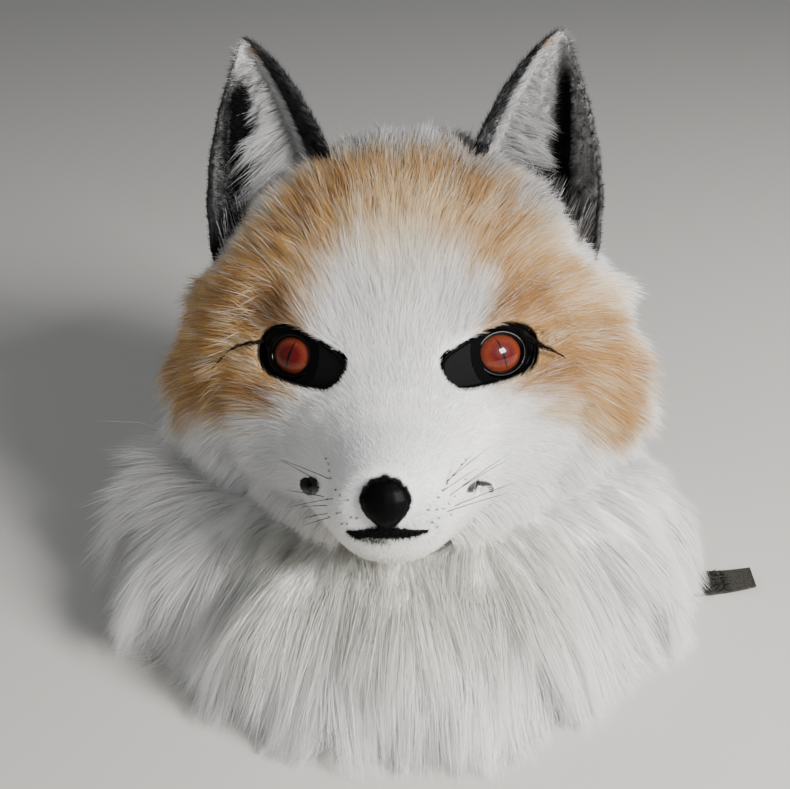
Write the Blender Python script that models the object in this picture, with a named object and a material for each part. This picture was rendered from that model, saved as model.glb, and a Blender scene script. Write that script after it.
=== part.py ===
"""Fursuit head: a hollow fox head shell with fur skins, ears, eyes, nose, lip and a neck ruff.

Metres, +Z up. The face looks along -Y and the object's own left is +X.
Head pieces are modelled in a head frame, which leans back over the neck opening.
"""
import math

import bpy
import bmesh
import numpy as np
from mathutils import Matrix, Vector

# Driving dimensions
HEAD_LEAN = math.radians(13.0)      # the face looks this far up when the head stands on its neck
HEAD_LIFT = 0.132                   # head frame's origin above the surface
WALL = 0.004                        # moulded shell
GAP = 0.0003                        # clearance where two pieces meet
SEAT = 0.0004                       # clearance between two shaped surfaces
FACE_PILE = 0.0033                  # short pile, with its backing
SEAM_Y = -0.062                     # head frame: short pile in front, long pile behind
HEAD_SIDES = 24
RUFF_SIDES = 32
FAR = 0.5                           # longer than any piece, for cutters
SLIVER = 0.000001                   # points closer than this are one point
FLAT_ANGLE = math.radians(0.05)     # facets closer to level than this are one facet
SHARP_ANGLE = math.radians(40.0)

NECK_HALF_WIDTH = 0.088
NECK_HALF_DEPTH = 0.100
NECK_CENTRE_Y = 0.0
NECK_TOP = 0.112                    # inside the skull, where the two forms join

# Skull sections across the head, from muzzle tip to nape. Head frame.
SECTION = ("y", "half_width", "top", "bottom", "widest", "power")
SKULL = (
    (-0.1765, 0.011, -0.002, -0.020, -0.010, 2.0),
    (-0.1720, 0.018, 0.003, -0.032, -0.014, 2.0),
    (-0.1640, 0.024, 0.006, -0.044, -0.018, 2.1),
    (-0.1520, 0.029, 0.010, -0.051, -0.020, 2.2),
    (-0.1370, 0.035, 0.015, -0.055, -0.020, 2.2),
    (-0.1210, 0.043, 0.024, -0.058, -0.018, 2.1),
    (-0.1050, 0.053, 0.040, -0.062, -0.012, 2.0),
    (-0.0900, 0.068, 0.060, -0.066, -0.003, 2.0),
    (-0.0760, 0.083, 0.079, -0.070, 0.003, 2.0),
    (-0.0620, 0.094, 0.095, -0.073, 0.005, 2.0),
    (-0.0460, 0.103, 0.109, -0.076, 0.006, 2.0),
    (-0.0250, 0.112, 0.124, -0.079, 0.006, 2.0),
    (0.0000, 0.116, 0.133, -0.080, 0.008, 2.0),
    (0.0300, 0.114, 0.137, -0.079, 0.014, 2.0),
    (0.0600, 0.105, 0.130, -0.072, 0.020, 2.0),
    (0.0900, 0.085, 0.110, -0.054, 0.024, 2.0),
    (0.1080, 0.060, 0.086, -0.032, 0.026, 2.0),
    (0.1180, 0.028, 0.056, -0.004, 0.026, 2.0),
)

# Dense part of the long pile, over the skull. The locks stand out of it.
HOOD = (
    (-0.0617, 0.0975, 0.0988, -0.0765, 0.005, 2.0),
    (-0.0520, 0.1100, 0.1100, -0.0800, 0.000, 2.0),
    (-0.0400, 0.1230, 0.1220, -0.0820, -0.004, 2.0),
    (-0.0200, 0.1360, 0.1370, -0.0840, -0.012, 2.0),
    (0.0050, 0.1400, 0.1465, -0.0850, -0.012, 2.0),
    (0.0300, 0.1370, 0.1500, -0.0850, -0.006, 2.0),
    (0.0600, 0.1280, 0.1460, -0.0800, 0.004, 2.0),
    (0.0900, 0.1120, 0.1300, -0.0700, 0.014, 2.0),
    (0.1150, 0.0860, 0.1050, -0.0500, 0.020, 2.0),
    (0.1310, 0.0530, 0.0760, -0.0220, 0.024, 2.0),
    (0.1380, 0.0220, 0.0480, 0.0040, 0.026, 2.0),
)

# Ruff levels from the neck seam down to the hem. Share runs from the neck's outline
# out to the hem circle.
RUFF_LEVEL = ("share", "height")
RUFF = (
    (0.02, 0.098),
    (0.30, 0.094),
    (0.56, 0.082),
    (0.80, 0.058),
    (0.95, 0.028),
    (1.00, 0.000),
)
RUFF_HEM_RADIUS = 0.181
RUFF_INNER_HEM = 0.026              # hollow between neck and ruff, at the surface
RUFF_INNER_TOP = 0.070
RUFF_INNER_FLARE = 0.006            # the hollow widens by this much more below the surface
VALLEY_ANGLE = math.radians(40.0)   # folds each side of the bib, from straight ahead
VALLEY_WIDTH = math.radians(9.0)
VALLEY_DEPTH = 0.016
LOBE_ANGLE = math.radians(78.0)     # side lobes, which stand higher than the bib
LOBE_WIDTH = math.radians(24.0)
LOBE_LIFT = 0.004
NAPE_FROM = math.radians(78.0)      # behind this the ruff lies lower, up to NAPE_TO
NAPE_TO = math.radians(108.0)
NAPE_DROP = 0.28                    # share of its height

# A lock of pile along its length, as shares of its length and width.
LOCK = ("along", "breadth")
LOCK_SHAPE = (
    (0.00, 0.85),
    (0.45, 1.00),
    (1.00, 0.00),
)
LOCK_FLATNESS = 0.36
LOCK_UNEVEN = 0.13                  # lengths vary by this share
HOOD_LOCK_SUNK = 0.006
HOOD_LOCK_STAGGER = 0.004
HOOD_SWEEP = 0.10                   # back along the head
HOOD_SAG = -0.22
CROWN_SAG = 0.05
RUFF_LOCK_SUNK = 0.012
RUFF_LOCK_LOWEST = 0.002            # tips stay this far above the surface
RUFF_ROOT_LOWEST = 0.006
LOBE_LOCK_RISE = 0.03

# Lock rows on the ruff: where they root, how many, how long, and where they point.
RUFF_LOCK = ("share", "count", "length", "width", "rise", "sag")
RUFF_LOCKS = (
    (0.46, 13, 0.072, 0.040, 0.02, 0.45),
    (0.74, 15, 0.058, 0.040, -0.05, 0.55),
    (0.94, 18, 0.040, 0.036, -0.05, 0.45),
)

# Lock rows on the hood: section, first and last angle round it (0 is straight up), count.
HOOD_LOCK = ("y", "first", "last", "count", "length", "width", "out", "back", "down")
HOOD_LOCKS = (
    (-0.020, 74.0, 86.0, 2, 0.032, 0.026, 0.55, 0.25, 0.50),
    (0.006, 60.0, 86.0, 3, 0.034, 0.026, 0.55, 0.45, 0.40),
    (0.040, 64.0, 84.0, 3, 0.036, 0.028, 0.50, 0.60, 0.38),
    (0.074, 28.0, 96.0, 4, 0.038, 0.030, 0.45, 0.70, 0.38),
    (0.104, 18.0, 90.0, 3, 0.038, 0.030, 0.40, 0.60, 0.50),
    (0.126, 35.0, 80.0, 2, 0.034, 0.028, 0.45, 0.40, 0.55),
)
CROWN_LOCKS = (
    (-0.012, 5.0, 14.0, 2, 0.030, 0.020, 0.50, 0.85, 0.0),
    (0.022, 5.0, 14.0, 2, 0.032, 0.022, 0.40, 0.90, 0.0),
    (0.056, 6.0, 17.0, 2, 0.034, 0.024, 0.35, 0.92, 0.1),
)

# Ear rows from inside the hood up to the tip, left ear, head frame.
EAR_ROW = ("inner_x", "inner_z", "outer_x", "outer_z", "edge_y", "depth")
EAR = (
    (0.0330, 0.1180, 0.1150, 0.0620, 0.000, 0.040),
    (0.0400, 0.1400, 0.1205, 0.0860, 0.003, 0.039),
    (0.0490, 0.1600, 0.1225, 0.1130, 0.008, 0.035),
    (0.0600, 0.1790, 0.1200, 0.1420, 0.014, 0.029),
    (0.0730, 0.1960, 0.1140, 0.1700, 0.021, 0.021),
    (0.0850, 0.2070, 0.1065, 0.1925, 0.027, 0.012),
    (0.0940, 0.2125, 0.1005, 0.2080, 0.030, 0.006),
)
EAR_COLUMNS = 8
EAR_WALL = 0.0045
EAR_CUP = 0.7                       # power of the cup's section: below 1 is fuller than a sine
EAR_EDGE_INSET = 0.7                # the front surface starts inside the edges
EAR_FRONT_INSET = 0.35

# Inner ear hair: a strip that lines the ear, and locks along it, left ear, head frame.
TUFT_SHARES = (0.10, 0.28, 0.46)
TUFT_LEVELS = (0.6, 1.6, 2.6, 3.6, 4.6)
TUFT_THICKNESS = 0.0024
TUFT_ROOT_SHARE = 0.20
TUFT_LOCK_WIDTH = 0.014
TUFT_SAG = (0.05, 0.10, -0.10)
TUFT_FLAT = (0.2, -1.0, 0.1)
TUFT_LOCK = ("level", "outward", "forward", "up", "length")
TUFT_LOCKS = (
    (1.0, 0.62, 0.42, 0.42, 0.0400),
    (2.0, 0.55, 0.42, 0.52, 0.0355),
    (3.0, 0.48, 0.42, 0.62, 0.0310),
    (4.0, 0.41, 0.42, 0.72, 0.0265),
)

# Eye opening, left eye, in the eye's own plane: outward from the iris, and up.
EYE_POINT = ("outward", "up")
EYE_OUTLINE = (
    (0.0238, 0.0050),
    (0.0190, 0.0117),
    (0.0060, 0.0147),
    (-0.0080, 0.0117),
    (-0.0340, 0.0025),
    (-0.0378, -0.0065),
    (-0.0325, -0.0143),
    (-0.0120, -0.0153),
    (0.0120, -0.0125),
    (0.0212, -0.0045),
)
SOCKET_REACH = 0.03                 # half depth of the cut through a wall
EYE_CENTRE = (0.0565, -0.0835, 0.0395)
EYE_YAW = math.radians(35.5)
EYE_LEAN = math.radians(12.0)
EYE_STEPS = 2                       # facets between two outline points
EYE_SIDES = 16
EYE_SPLIT = -0.0160                 # lid frame outside, vision panel inside
IRIS_RADIUS = 0.0104
IRIS_BULGE = 0.0046
LID_HOLE = 0.0108
LID_TUBE = 0.0019
LID_TUBE_RISE = 1.4                 # the lip stands higher than it is wide
LID_TUBE_STEPS = 4
DOME_STEPS = 5
LID_BACK = -0.0045
LID_FRONT = 0.0012
PANEL_BACK = -0.0022
PANEL_FRONT = -0.0006

VENT_CENTRE = (0.0430, -0.1250, -0.0235)
VENT_FACING = (0.88, -0.46, 0.05)
VENT_RADIUS = 0.0042
VENT_SIDES = 12
VENT_BACK = -0.015
VENT_FRONT = 0.020

NOSE_CENTRE = (0.0, -0.1755, -0.0120)
NOSE_HALF_WIDTH = 0.0132
NOSE_HALF_HEIGHT = 0.0132
NOSE_REACH = 0.0125
NOSE_BELOW = 0.45                   # width at the bottom, as a share of the full width
NOSE_TAPER_FROM = 0.2               # share of the half height where it starts to narrow
NOSE_TAPER = 1.2
NOSE_ROUND = 0.8                    # below 1 is boxier than a ball
NOSE_RINGS = 8
NOSE_SIDES = 16

LIP_HALF_WIDTH = 0.0200
LIP_Z = -0.0285
LIP_DROP = 0.0010                   # the ends lie this much lower than the middle
LIP_HEIGHT = 0.0048
LIP_THICKNESS = 0.0016
LIP_END_TAPER = 0.75
LIP_STEPS = 10
LIP_BACK = -0.140                   # head frame: the muzzle's surface behind this has no lip

TAB_ROOT_X = 0.150
TAB_TIP_X = 0.222
TAB_WIDTH = 0.030
TAB_Y = -0.034
TAB_THICKNESS = 0.0014
TAB_SLOT = 0.0024                   # height of the slot under the hem that the tab lies in
TAB_STEPS = 8
TAB_NARROWING = 0.35
TAB_CURL_FROM = 0.55
TAB_CURL = 0.0032
TAB_SWEEP = 0.006


def column(rows, names, key):
    """One named column of a table, as an array."""
    return np.array([row[names.index(key)] for row in rows])


def clear_scene():
    for old in list(bpy.data.objects):
        bpy.data.objects.remove(old, do_unlink=True)


def make_material(name, colour, roughness):
    material = bpy.data.materials.new(name)
    material.use_nodes = True
    shader = material.node_tree.nodes["Principled BSDF"]
    shader.inputs["Base Color"].default_value = (*colour, 1.0)
    shader.inputs["Roughness"].default_value = roughness
    shader.inputs["Metallic"].default_value = 0.0
    return material


def make_object(name, points, faces, parent=None):
    """A mesh object from points and faces, with its faces turned outwards."""
    mesh = bpy.data.meshes.new(name)
    mesh.from_pydata([tuple(point) for point in points], [], [tuple(face) for face in faces])
    shape = bmesh.new()
    shape.from_mesh(mesh)
    bmesh.ops.recalc_face_normals(shape, faces=shape.faces)
    bmesh.ops.triangulate(shape, faces=shape.faces, quad_method="SHORT_EDGE")
    shape.to_mesh(mesh)
    shape.free()
    thing = bpy.data.objects.new(name, mesh)
    bpy.context.collection.objects.link(thing)
    thing.parent = parent
    return thing


def ring_faces(rings, sides, cap_start=True, cap_end=True):
    """Quads between rings of equal length, with the two ends filled."""
    faces = []
    for ring in range(rings - 1):
        for side in range(sides):
            near = ring * sides + side
            far = ring * sides + (side + 1) % sides
            faces.append((near, far, far + sides, near + sides))
    if cap_start:
        faces.append(tuple(reversed(range(sides))))
    if cap_end:
        last = (rings - 1) * sides
        faces.append(tuple(range(last, last + sides)))
    return faces


def settle(thing):
    """Turn an object's modifiers into its mesh."""
    bpy.context.view_layer.update()
    graph = bpy.context.evaluated_depsgraph_get()
    mesh = bpy.data.meshes.new_from_object(thing.evaluated_get(graph))
    thing.modifiers.clear()
    old = thing.data
    thing.data = mesh
    bpy.data.meshes.remove(old)
    return thing


def drop_scraps(thing):
    """Close hairline slivers and keep the largest body, without the crumbs of a cut."""
    shape = bmesh.new()
    shape.from_mesh(thing.data)
    bmesh.ops.dissolve_limit(shape, angle_limit=FLAT_ANGLE, verts=shape.verts, edges=shape.edges)
    bmesh.ops.remove_doubles(shape, verts=shape.verts, dist=SLIVER)
    bmesh.ops.dissolve_degenerate(shape, edges=shape.edges, dist=SLIVER)
    bodies = []
    waiting = set(shape.verts)
    while waiting:
        body = {waiting.pop()}
        edge_of_body = list(body)
        while edge_of_body:
            vertex = edge_of_body.pop()
            for edge in vertex.link_edges:
                neighbour = edge.other_vert(vertex)
                if neighbour in waiting:
                    waiting.remove(neighbour)
                    body.add(neighbour)
                    edge_of_body.append(neighbour)
        bodies.append(body)
    bodies.sort(key=len)
    scraps = [vertex for body in bodies[:-1] for vertex in body]
    bmesh.ops.delete(shape, geom=scraps, context="VERTS")
    shape.to_mesh(thing.data)
    shape.free()
    return thing


def combine(thing, others, operation):
    """Boolean of an object with one or more others, which are used up."""
    tools = bpy.data.collections.new("tools")
    for other in others:
        tools.objects.link(other)
    modifier = thing.modifiers.new(operation.lower(), "BOOLEAN")
    modifier.operation = operation
    modifier.operand_type = "COLLECTION"
    modifier.collection = tools
    settle(thing)
    for other in others:
        bpy.data.objects.remove(other, do_unlink=True)
    bpy.data.collections.remove(tools)
    return thing


def cut(thing, *others):
    return combine(thing, others, "DIFFERENCE")


def fuse(thing, *others):
    return combine(thing, others, "UNION")


def keep_inside(thing, other):
    return combine(thing, (other,), "INTERSECT")


def grow(thing, distance):
    """Move each point of a mesh along its own normal."""
    shape = bmesh.new()
    shape.from_mesh(thing.data)
    shape.normal_update()
    moves = [(vertex, vertex.normal.copy()) for vertex in shape.verts]
    for vertex, normal in moves:
        vertex.co += normal * distance
    shape.to_mesh(thing.data)
    shape.free()
    return thing


def section_at(rows, y):
    """The section of a form at any y, between its rows."""
    stations = column(rows, SECTION, "y")
    return {key: float(np.interp(y, stations, column(rows, SECTION, key))) for key in SECTION}


def section_point(section, turn):
    """A point on a section. Turn 0 is straight up and a quarter turn is the left side."""
    share = 2.0 / section["power"]
    side = math.sin(turn)
    rise = math.cos(turn)
    reach = section["top"] - section["widest"] if rise >= 0.0 else section["widest"] - section["bottom"]
    x = section["half_width"] * math.copysign(abs(side) ** share, side)
    z = section["widest"] + reach * math.copysign(abs(rise) ** share, rise)
    return Vector((x, section["y"], z))


def loft(name, rows, parent, distance=0.0):
    """A closed form through the sections of a table."""
    points = []
    for row in rows:
        section = dict(zip(SECTION, row))
        points += [section_point(section, math.tau * (side + 0.5) / HEAD_SIDES)
                   for side in range(HEAD_SIDES)]
    form = make_object(name, points, ring_faces(len(rows), HEAD_SIDES), parent)
    return grow(form, distance)


def loft_rings(rows, distance, first, last):
    """Rings of points of a grown form, one for each row between two values of y."""
    form = loft("guide", rows, None, distance)
    points = [vertex.co.copy() for vertex in form.data.vertices]
    bpy.data.objects.remove(form, do_unlink=True)
    return [points[index * HEAD_SIDES:(index + 1) * HEAD_SIDES]
            for index, row in enumerate(rows) if first <= row[0] <= last]


def skin(name, outer, inner, frame):
    """A wall between two sets of rings, closed at the first rings and open at the last."""
    rings = outer + list(reversed(inner))
    points = [point for ring in rings for point in ring]
    return make_object(name, points, ring_faces(len(rings), HEAD_SIDES), frame)


def neck_point(turn, distance=0.0):
    """Outline of the neck. Turn 0 is straight ahead and a quarter turn is the left side."""
    return Vector(((NECK_HALF_WIDTH + distance) * math.sin(turn),
                   NECK_CENTRE_Y - (NECK_HALF_DEPTH + distance) * math.cos(turn), 0.0))


def neck_tube(name, distance, low, high):
    points = []
    for height in (low, high):
        for side in range(HEAD_SIDES):
            point = neck_point(math.tau * (side + 0.5) / HEAD_SIDES, distance)
            points.append((point.x, point.y, height))
    return make_object(name, points, ring_faces(2, HEAD_SIDES))


def box(name, low, high):
    corners = [(x, y, z) for z in (low[2], high[2]) for x, y in
               ((low[0], low[1]), (high[0], low[1]), (high[0], high[1]), (low[0], high[1]))]
    return make_object(name, corners, ring_faces(2, 4))


def mirror_to_right(thing, name):
    """The right-hand twin of a left-hand piece."""
    mesh = thing.data.copy()
    mesh.transform(Matrix.Scale(-1.0, 4, Vector((1.0, 0.0, 0.0))))
    mesh.flip_normals()
    twin = bpy.data.objects.new(name, mesh)
    bpy.context.collection.objects.link(twin)
    twin.parent = thing.parent
    return twin


def lock(name, root, direction, sag, length, width, flat, parent=None):
    """A pointed lock of pile: a flat four-sided spike on a sagging line."""
    direction = direction.normalized()
    sideways = direction.cross(flat).normalized()
    points = []
    for step, breadth in zip(column(LOCK_SHAPE, LOCK, "along"), column(LOCK_SHAPE, LOCK, "breadth")):
        step = float(step)
        centre = root + direction * (length * step) + sag * (length * step * step)
        along = (direction + sag * (2.0 * step)).normalized()
        thick = sideways.cross(along).normalized()
        if breadth == 0.0:
            points.append(centre)
            continue
        half = 0.5 * width * float(breadth)
        points += [centre + sideways * half, centre + thick * half * LOCK_FLATNESS,
                   centre - sideways * half, centre - thick * half * LOCK_FLATNESS]
    tip = len(points) - 1
    faces = ring_faces(len(LOCK_SHAPE) - 1, 4, True, False)
    faces += [(tip - 4 + side, tip - 4 + (side + 1) % 4, tip) for side in range(4)]
    return make_object(name, points, faces, parent)


def uneven(index, row_number):
    """A value from -1 to 1 that wanders along a row of locks."""
    return math.sin(3.7 * index + 2.0 * row_number)


# Head shell

def skull_with_neck(name, distance, neck_low, frame):
    form = loft(name, SKULL, frame, distance)
    return fuse(form, neck_tube("neck_form", distance, neck_low, NECK_TOP))


def eye_axes():
    """Left eye's place: its own outward, up and facing axes, in the head frame."""
    outward = Vector((math.cos(EYE_YAW), math.sin(EYE_YAW), 0.0))
    level = Vector((math.sin(EYE_YAW), -math.cos(EYE_YAW), 0.0))
    rise = Vector((0.0, 0.0, 1.0))
    facing = level * math.cos(EYE_LEAN) + rise * math.sin(EYE_LEAN)
    up = rise * math.cos(EYE_LEAN) - level * math.sin(EYE_LEAN)
    return Vector(EYE_CENTRE), outward, up, facing


def eye_outline(distance):
    """The eye opening as a smooth closed outline, moved outwards by a distance."""
    knots = [Vector(pair) for pair in zip(column(EYE_OUTLINE, EYE_POINT, "outward"),
                                          column(EYE_OUTLINE, EYE_POINT, "up"))]
    count = len(knots)
    smooth = []
    for index in range(count):
        before, start, end, after = (knots[(index + shift) % count] for shift in (-1, 0, 1, 2))
        for step in range(EYE_STEPS):
            t = step / EYE_STEPS
            smooth.append(0.5 * (2.0 * start + (end - before) * t
                                 + (2.0 * before - 5.0 * start + 4.0 * end - after) * t ** 2
                                 + (3.0 * start - before - 3.0 * end + after) * t ** 3))
    moved = []
    for index, point in enumerate(smooth):
        along = (smooth[(index + 1) % len(smooth)] - smooth[index - 1]).normalized()
        moved.append(point + Vector((along.y, -along.x)) * distance)
    return moved


def eye_prism(name, distance, back, front, frame):
    centre, outward, up, facing = eye_axes()
    outline = eye_outline(distance)
    points = [centre + outward * point.x + up * point.y + facing * depth
              for depth in (back, front) for point in outline]
    return make_object(name, points, ring_faces(2, len(outline)), frame)


def eye_half_space(name, low, high, frame):
    """A large block over part of the eye, between two distances along the outward axis."""
    centre, outward, up, facing = eye_axes()
    points = [centre + outward * along + up * rise + facing * depth
              for depth in (-FAR, FAR)
              for along, rise in ((low, -FAR), (high, -FAR), (high, FAR), (low, FAR))]
    return make_object(name, points, ring_faces(2, 4), frame)


def turned(name, profile, sides, axes, frame):
    """A round solid about the eye's facing axis, from rows of radius and depth."""
    centre, outward, up, facing = axes
    points = []
    for radius, depth in profile:
        for side in range(sides):
            turn = math.tau * side / sides
            points.append(centre + facing * depth
                          + (outward * math.cos(turn) + up * math.sin(turn)) * radius)
    return make_object(name, points, ring_faces(len(profile), sides), frame)


def turned_ring(name, profile, sides, axes, frame):
    """A closed profile turned all the way round the eye's facing axis."""
    centre, outward, up, facing = axes
    count = len(profile)
    points = []
    for side in range(sides):
        turn = math.tau * side / sides
        across = outward * math.cos(turn) + up * math.sin(turn)
        points += [centre + facing * depth + across * radius for radius, depth in profile]
    faces = ring_faces(sides, count, False, False)
    last = (sides - 1) * count
    faces += [(last + index, last + (index + 1) % count, (index + 1) % count, index)
              for index in range(count)]
    return make_object(name, points, faces, frame)


def vent_drill(name, radius, frame):
    """A rod through the cheek, square to its surface."""
    facing = Vector(VENT_FACING).normalized()
    up = Vector((0.0, 0.0, 1.0))
    up = (up - facing * up.dot(facing)).normalized()
    axes = (Vector(VENT_CENTRE), facing.cross(up), up, facing)
    return turned(name, ((radius, VENT_BACK), (radius, VENT_FRONT)), VENT_SIDES, axes, frame)


def both_sides(piece):
    return piece, mirror_to_right(piece, piece.name + "_right")


def open_face(wall, frame):
    """Cut the eye openings and the cheek vents through a wall."""
    for one in both_sides(eye_prism("socket", SEAT, -SOCKET_REACH, SOCKET_REACH, frame)):
        cut(wall, one)
    for one in both_sides(vent_drill("vent", VENT_RADIUS, frame)):
        cut(wall, one)


def make_head_base(frame):
    base = skull_with_neck("head_base", 0.0, 0.0, frame)
    hollow = skull_with_neck("hollow", -WALL, -0.02, frame)
    cut(base, hollow)
    open_face(base, frame)
    return base


# Fur skins

def make_face_fur(frame):
    outer = loft_rings(SKULL, SEAT + FACE_PILE, -FAR, SEAM_Y)
    inner = loft_rings(SKULL, SEAT, -FAR, SEAM_Y)
    fur = skin("face_fur", outer, inner, frame)
    cut(fur, neck_tube("neck_form", SEAT, -0.02, NECK_TOP))
    open_face(fur, frame)
    return fur


def section_normal(rows, y, turn):
    """Outward direction of a lofted form at a point."""
    step = 0.002
    turn_step = 0.02
    here = section_point(section_at(rows, y), turn)
    along = section_point(section_at(rows, y + step), turn) - here
    around = section_point(section_at(rows, y), turn + turn_step) - here
    normal = around.cross(along)
    outward = here - Vector((0.0, y, 0.02))
    return (normal if normal.dot(outward) > 0.0 else -normal).normalized()


def hood_locks(frame, table, sag):
    made = []
    for row_number, row in enumerate(table):
        values = dict(zip(HOOD_LOCK, row))
        for index in range(values["count"]):
            share = index / max(values["count"] - 1, 1)
            turn = math.radians(values["first"] + (values["last"] - values["first"]) * share)
            y = values["y"] + HOOD_LOCK_STAGGER * uneven(index + 1, row_number)
            root = section_point(section_at(HOOD, y), turn)
            normal = section_normal(HOOD, y, turn)
            flow = Vector((0.0, values["back"], -values["down"]))
            direction = normal * values["out"] + flow
            length = values["length"] * (1.0 + LOCK_UNEVEN * uneven(index, row_number))
            root -= normal * HOOD_LOCK_SUNK
            made.append(lock("lock", root, direction, Vector((0.0, HOOD_SWEEP, sag)), length,
                             values["width"], normal, frame))
            made.append(mirror_to_right(made[-1], "lock_right"))
    return made


def make_hood_fur(frame):
    outer = list(reversed(loft_rings(HOOD, 0.0, SEAM_Y, FAR)))
    inner = list(reversed(loft_rings(SKULL, SEAT, SEAM_Y, FAR)))
    for point in inner[-1]:
        point.y = HOOD[0][0]
    hood = skin("hood_fur", outer, inner, frame)
    for one in hood_locks(frame, HOOD_LOCKS, HOOD_SAG) + hood_locks(frame, CROWN_LOCKS, CROWN_SAG):
        fuse(hood, one)
    return cut(hood, neck_tube("neck_form", SEAT, -0.02, NECK_TOP))


# Ears

def ear_point(level, across, inset):
    """A point of the ear's back surface, or of its front one at an inset of the wall."""
    levels = range(len(EAR))
    row = {key: float(np.interp(level, levels, column(EAR, EAR_ROW, key))) for key in EAR_ROW}
    inner = Vector((row["inner_x"], row["edge_y"], row["inner_z"]))
    outer = Vector((row["outer_x"], row["edge_y"], row["outer_z"]))
    along = (outer - inner).normalized()
    inner += along * inset * EAR_EDGE_INSET
    outer -= along * inset * EAR_EDGE_INSET
    depth = max(row["depth"] - inset, 0.0)
    bulge = math.sin(math.pi * across) ** EAR_CUP * depth
    point = inner.lerp(outer, across)
    point.y += bulge - inset * EAR_FRONT_INSET
    return point


def sheet_solid(name, back, front, frame):
    """A closed wall between two grids of points of equal size."""
    rows = len(back)
    columns = len(back[0])
    rings = []
    for row in range(rows):
        rings.append(list(back[row]) + list(reversed(front[row])))
    sides = 2 * columns
    points = [point for ring in rings for point in ring]
    return make_object(name, points, ring_faces(rows, sides), frame)


def ear_wall(name, back_inset, front_inset, frame):
    shares = [index / (EAR_COLUMNS - 1) for index in range(EAR_COLUMNS)]
    levels = range(len(EAR))
    back = [[ear_point(level, share, back_inset) for share in shares] for level in levels]
    front = [[ear_point(level, share, front_inset) for share in shares] for level in levels]
    return sheet_solid(name, back, front, frame)


def make_ear(frame):
    ear = ear_wall("ear_left", 0.0, EAR_WALL, frame)
    return cut(ear, loft("hood_form", HOOD, frame, SEAT))


def make_ear_tuft(frame):
    """Long inner ear hair: locks on a strip that lines the ear beside its inner edge."""
    near = EAR_WALL + SEAT
    far = near + TUFT_THICKNESS
    back = [[ear_point(level, share, near) for share in TUFT_SHARES] for level in TUFT_LEVELS]
    front = [[ear_point(level, share, far) for share in TUFT_SHARES] for level in TUFT_LEVELS]
    tuft = sheet_solid("ear_tuft_left", back, front, frame)
    for row in TUFT_LOCKS:
        values = dict(zip(TUFT_LOCK, row))
        root = ear_point(values["level"], TUFT_ROOT_SHARE, 0.5 * (near + far))
        ahead = Vector((values["outward"], -values["forward"], values["up"]))
        fuse(tuft, lock("lock", root, ahead, Vector(TUFT_SAG), values["length"], TUFT_LOCK_WIDTH,
                        Vector(TUFT_FLAT), frame))
    cut(tuft, ear_wall("ear_form", -SEAT, EAR_WALL + SEAT, frame))
    return cut(tuft, loft("hood_form", HOOD, frame, SEAT))


# Eyes

def make_eye_rim(frame):
    """The lid frame round the iris, with a raised lip."""
    back = LID_BACK + 0.001
    middle = LID_HOLE + LID_TUBE
    lip = [(middle + LID_TUBE, back)]
    for step in range(LID_TUBE_STEPS + 1):
        turn = math.pi * step / LID_TUBE_STEPS
        lip.append((middle + LID_TUBE * math.cos(turn),
                    LID_FRONT + LID_TUBE_RISE * LID_TUBE * math.sin(turn)))
    lip.append((LID_HOLE, back))
    rim = eye_prism("eye_rim_left", 0.0, LID_BACK, LID_FRONT, frame)
    keep_inside(rim, eye_half_space("outer_part", EYE_SPLIT, FAR, frame))
    fuse(rim, turned_ring("lid_lip", lip, EYE_SIDES, eye_axes(), frame))
    keep_inside(rim, eye_prism("opening", 0.0, -SOCKET_REACH, SOCKET_REACH, frame))
    hole = ((LID_HOLE, -SOCKET_REACH), (LID_HOLE, SOCKET_REACH))
    return cut(rim, turned("iris_hole", hole, EYE_SIDES, eye_axes(), frame))


def make_eye_dome(frame):
    ball = (IRIS_RADIUS ** 2 + IRIS_BULGE ** 2) / (2.0 * IRIS_BULGE)
    profile = [(IRIS_RADIUS, LID_BACK)]
    for step in range(DOME_STEPS):
        radius = IRIS_RADIUS * math.cos(0.5 * math.pi * step / DOME_STEPS)
        profile.append((radius, math.sqrt(ball ** 2 - radius ** 2) - ball + IRIS_BULGE))
    return turned("eye_dome_left", profile, EYE_SIDES, eye_axes(), frame)


def make_eye_mesh(frame):
    panel = eye_prism("eye_mesh_left", 0.0, PANEL_BACK, PANEL_FRONT, frame)
    return keep_inside(panel, eye_half_space("inner_part", -FAR, EYE_SPLIT - GAP, frame))


# Nose and lip

def make_nose(frame):
    points = []
    for ring in range(NOSE_RINGS):
        height = math.cos(math.pi * (ring + 0.5) / NOSE_RINGS)
        spread = math.sqrt(1.0 - height ** 2) ** NOSE_ROUND
        below = max(NOSE_TAPER_FROM - height, 0.0) / (NOSE_TAPER_FROM + 1.0)
        width = NOSE_HALF_WIDTH * (1.0 + (NOSE_BELOW - 1.0) * below ** NOSE_TAPER)
        for side in range(NOSE_SIDES):
            turn = math.tau * side / NOSE_SIDES
            points.append((width * spread * math.cos(turn),
                           NOSE_CENTRE[1] - NOSE_REACH * spread * math.sin(turn),
                           NOSE_CENTRE[2] + NOSE_HALF_HEIGHT * height))
    nose = make_object("nose", points, ring_faces(NOSE_RINGS, NOSE_SIDES), frame)
    return cut(nose, loft("muzzle", SKULL, frame, SEAT + FACE_PILE + GAP))


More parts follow.
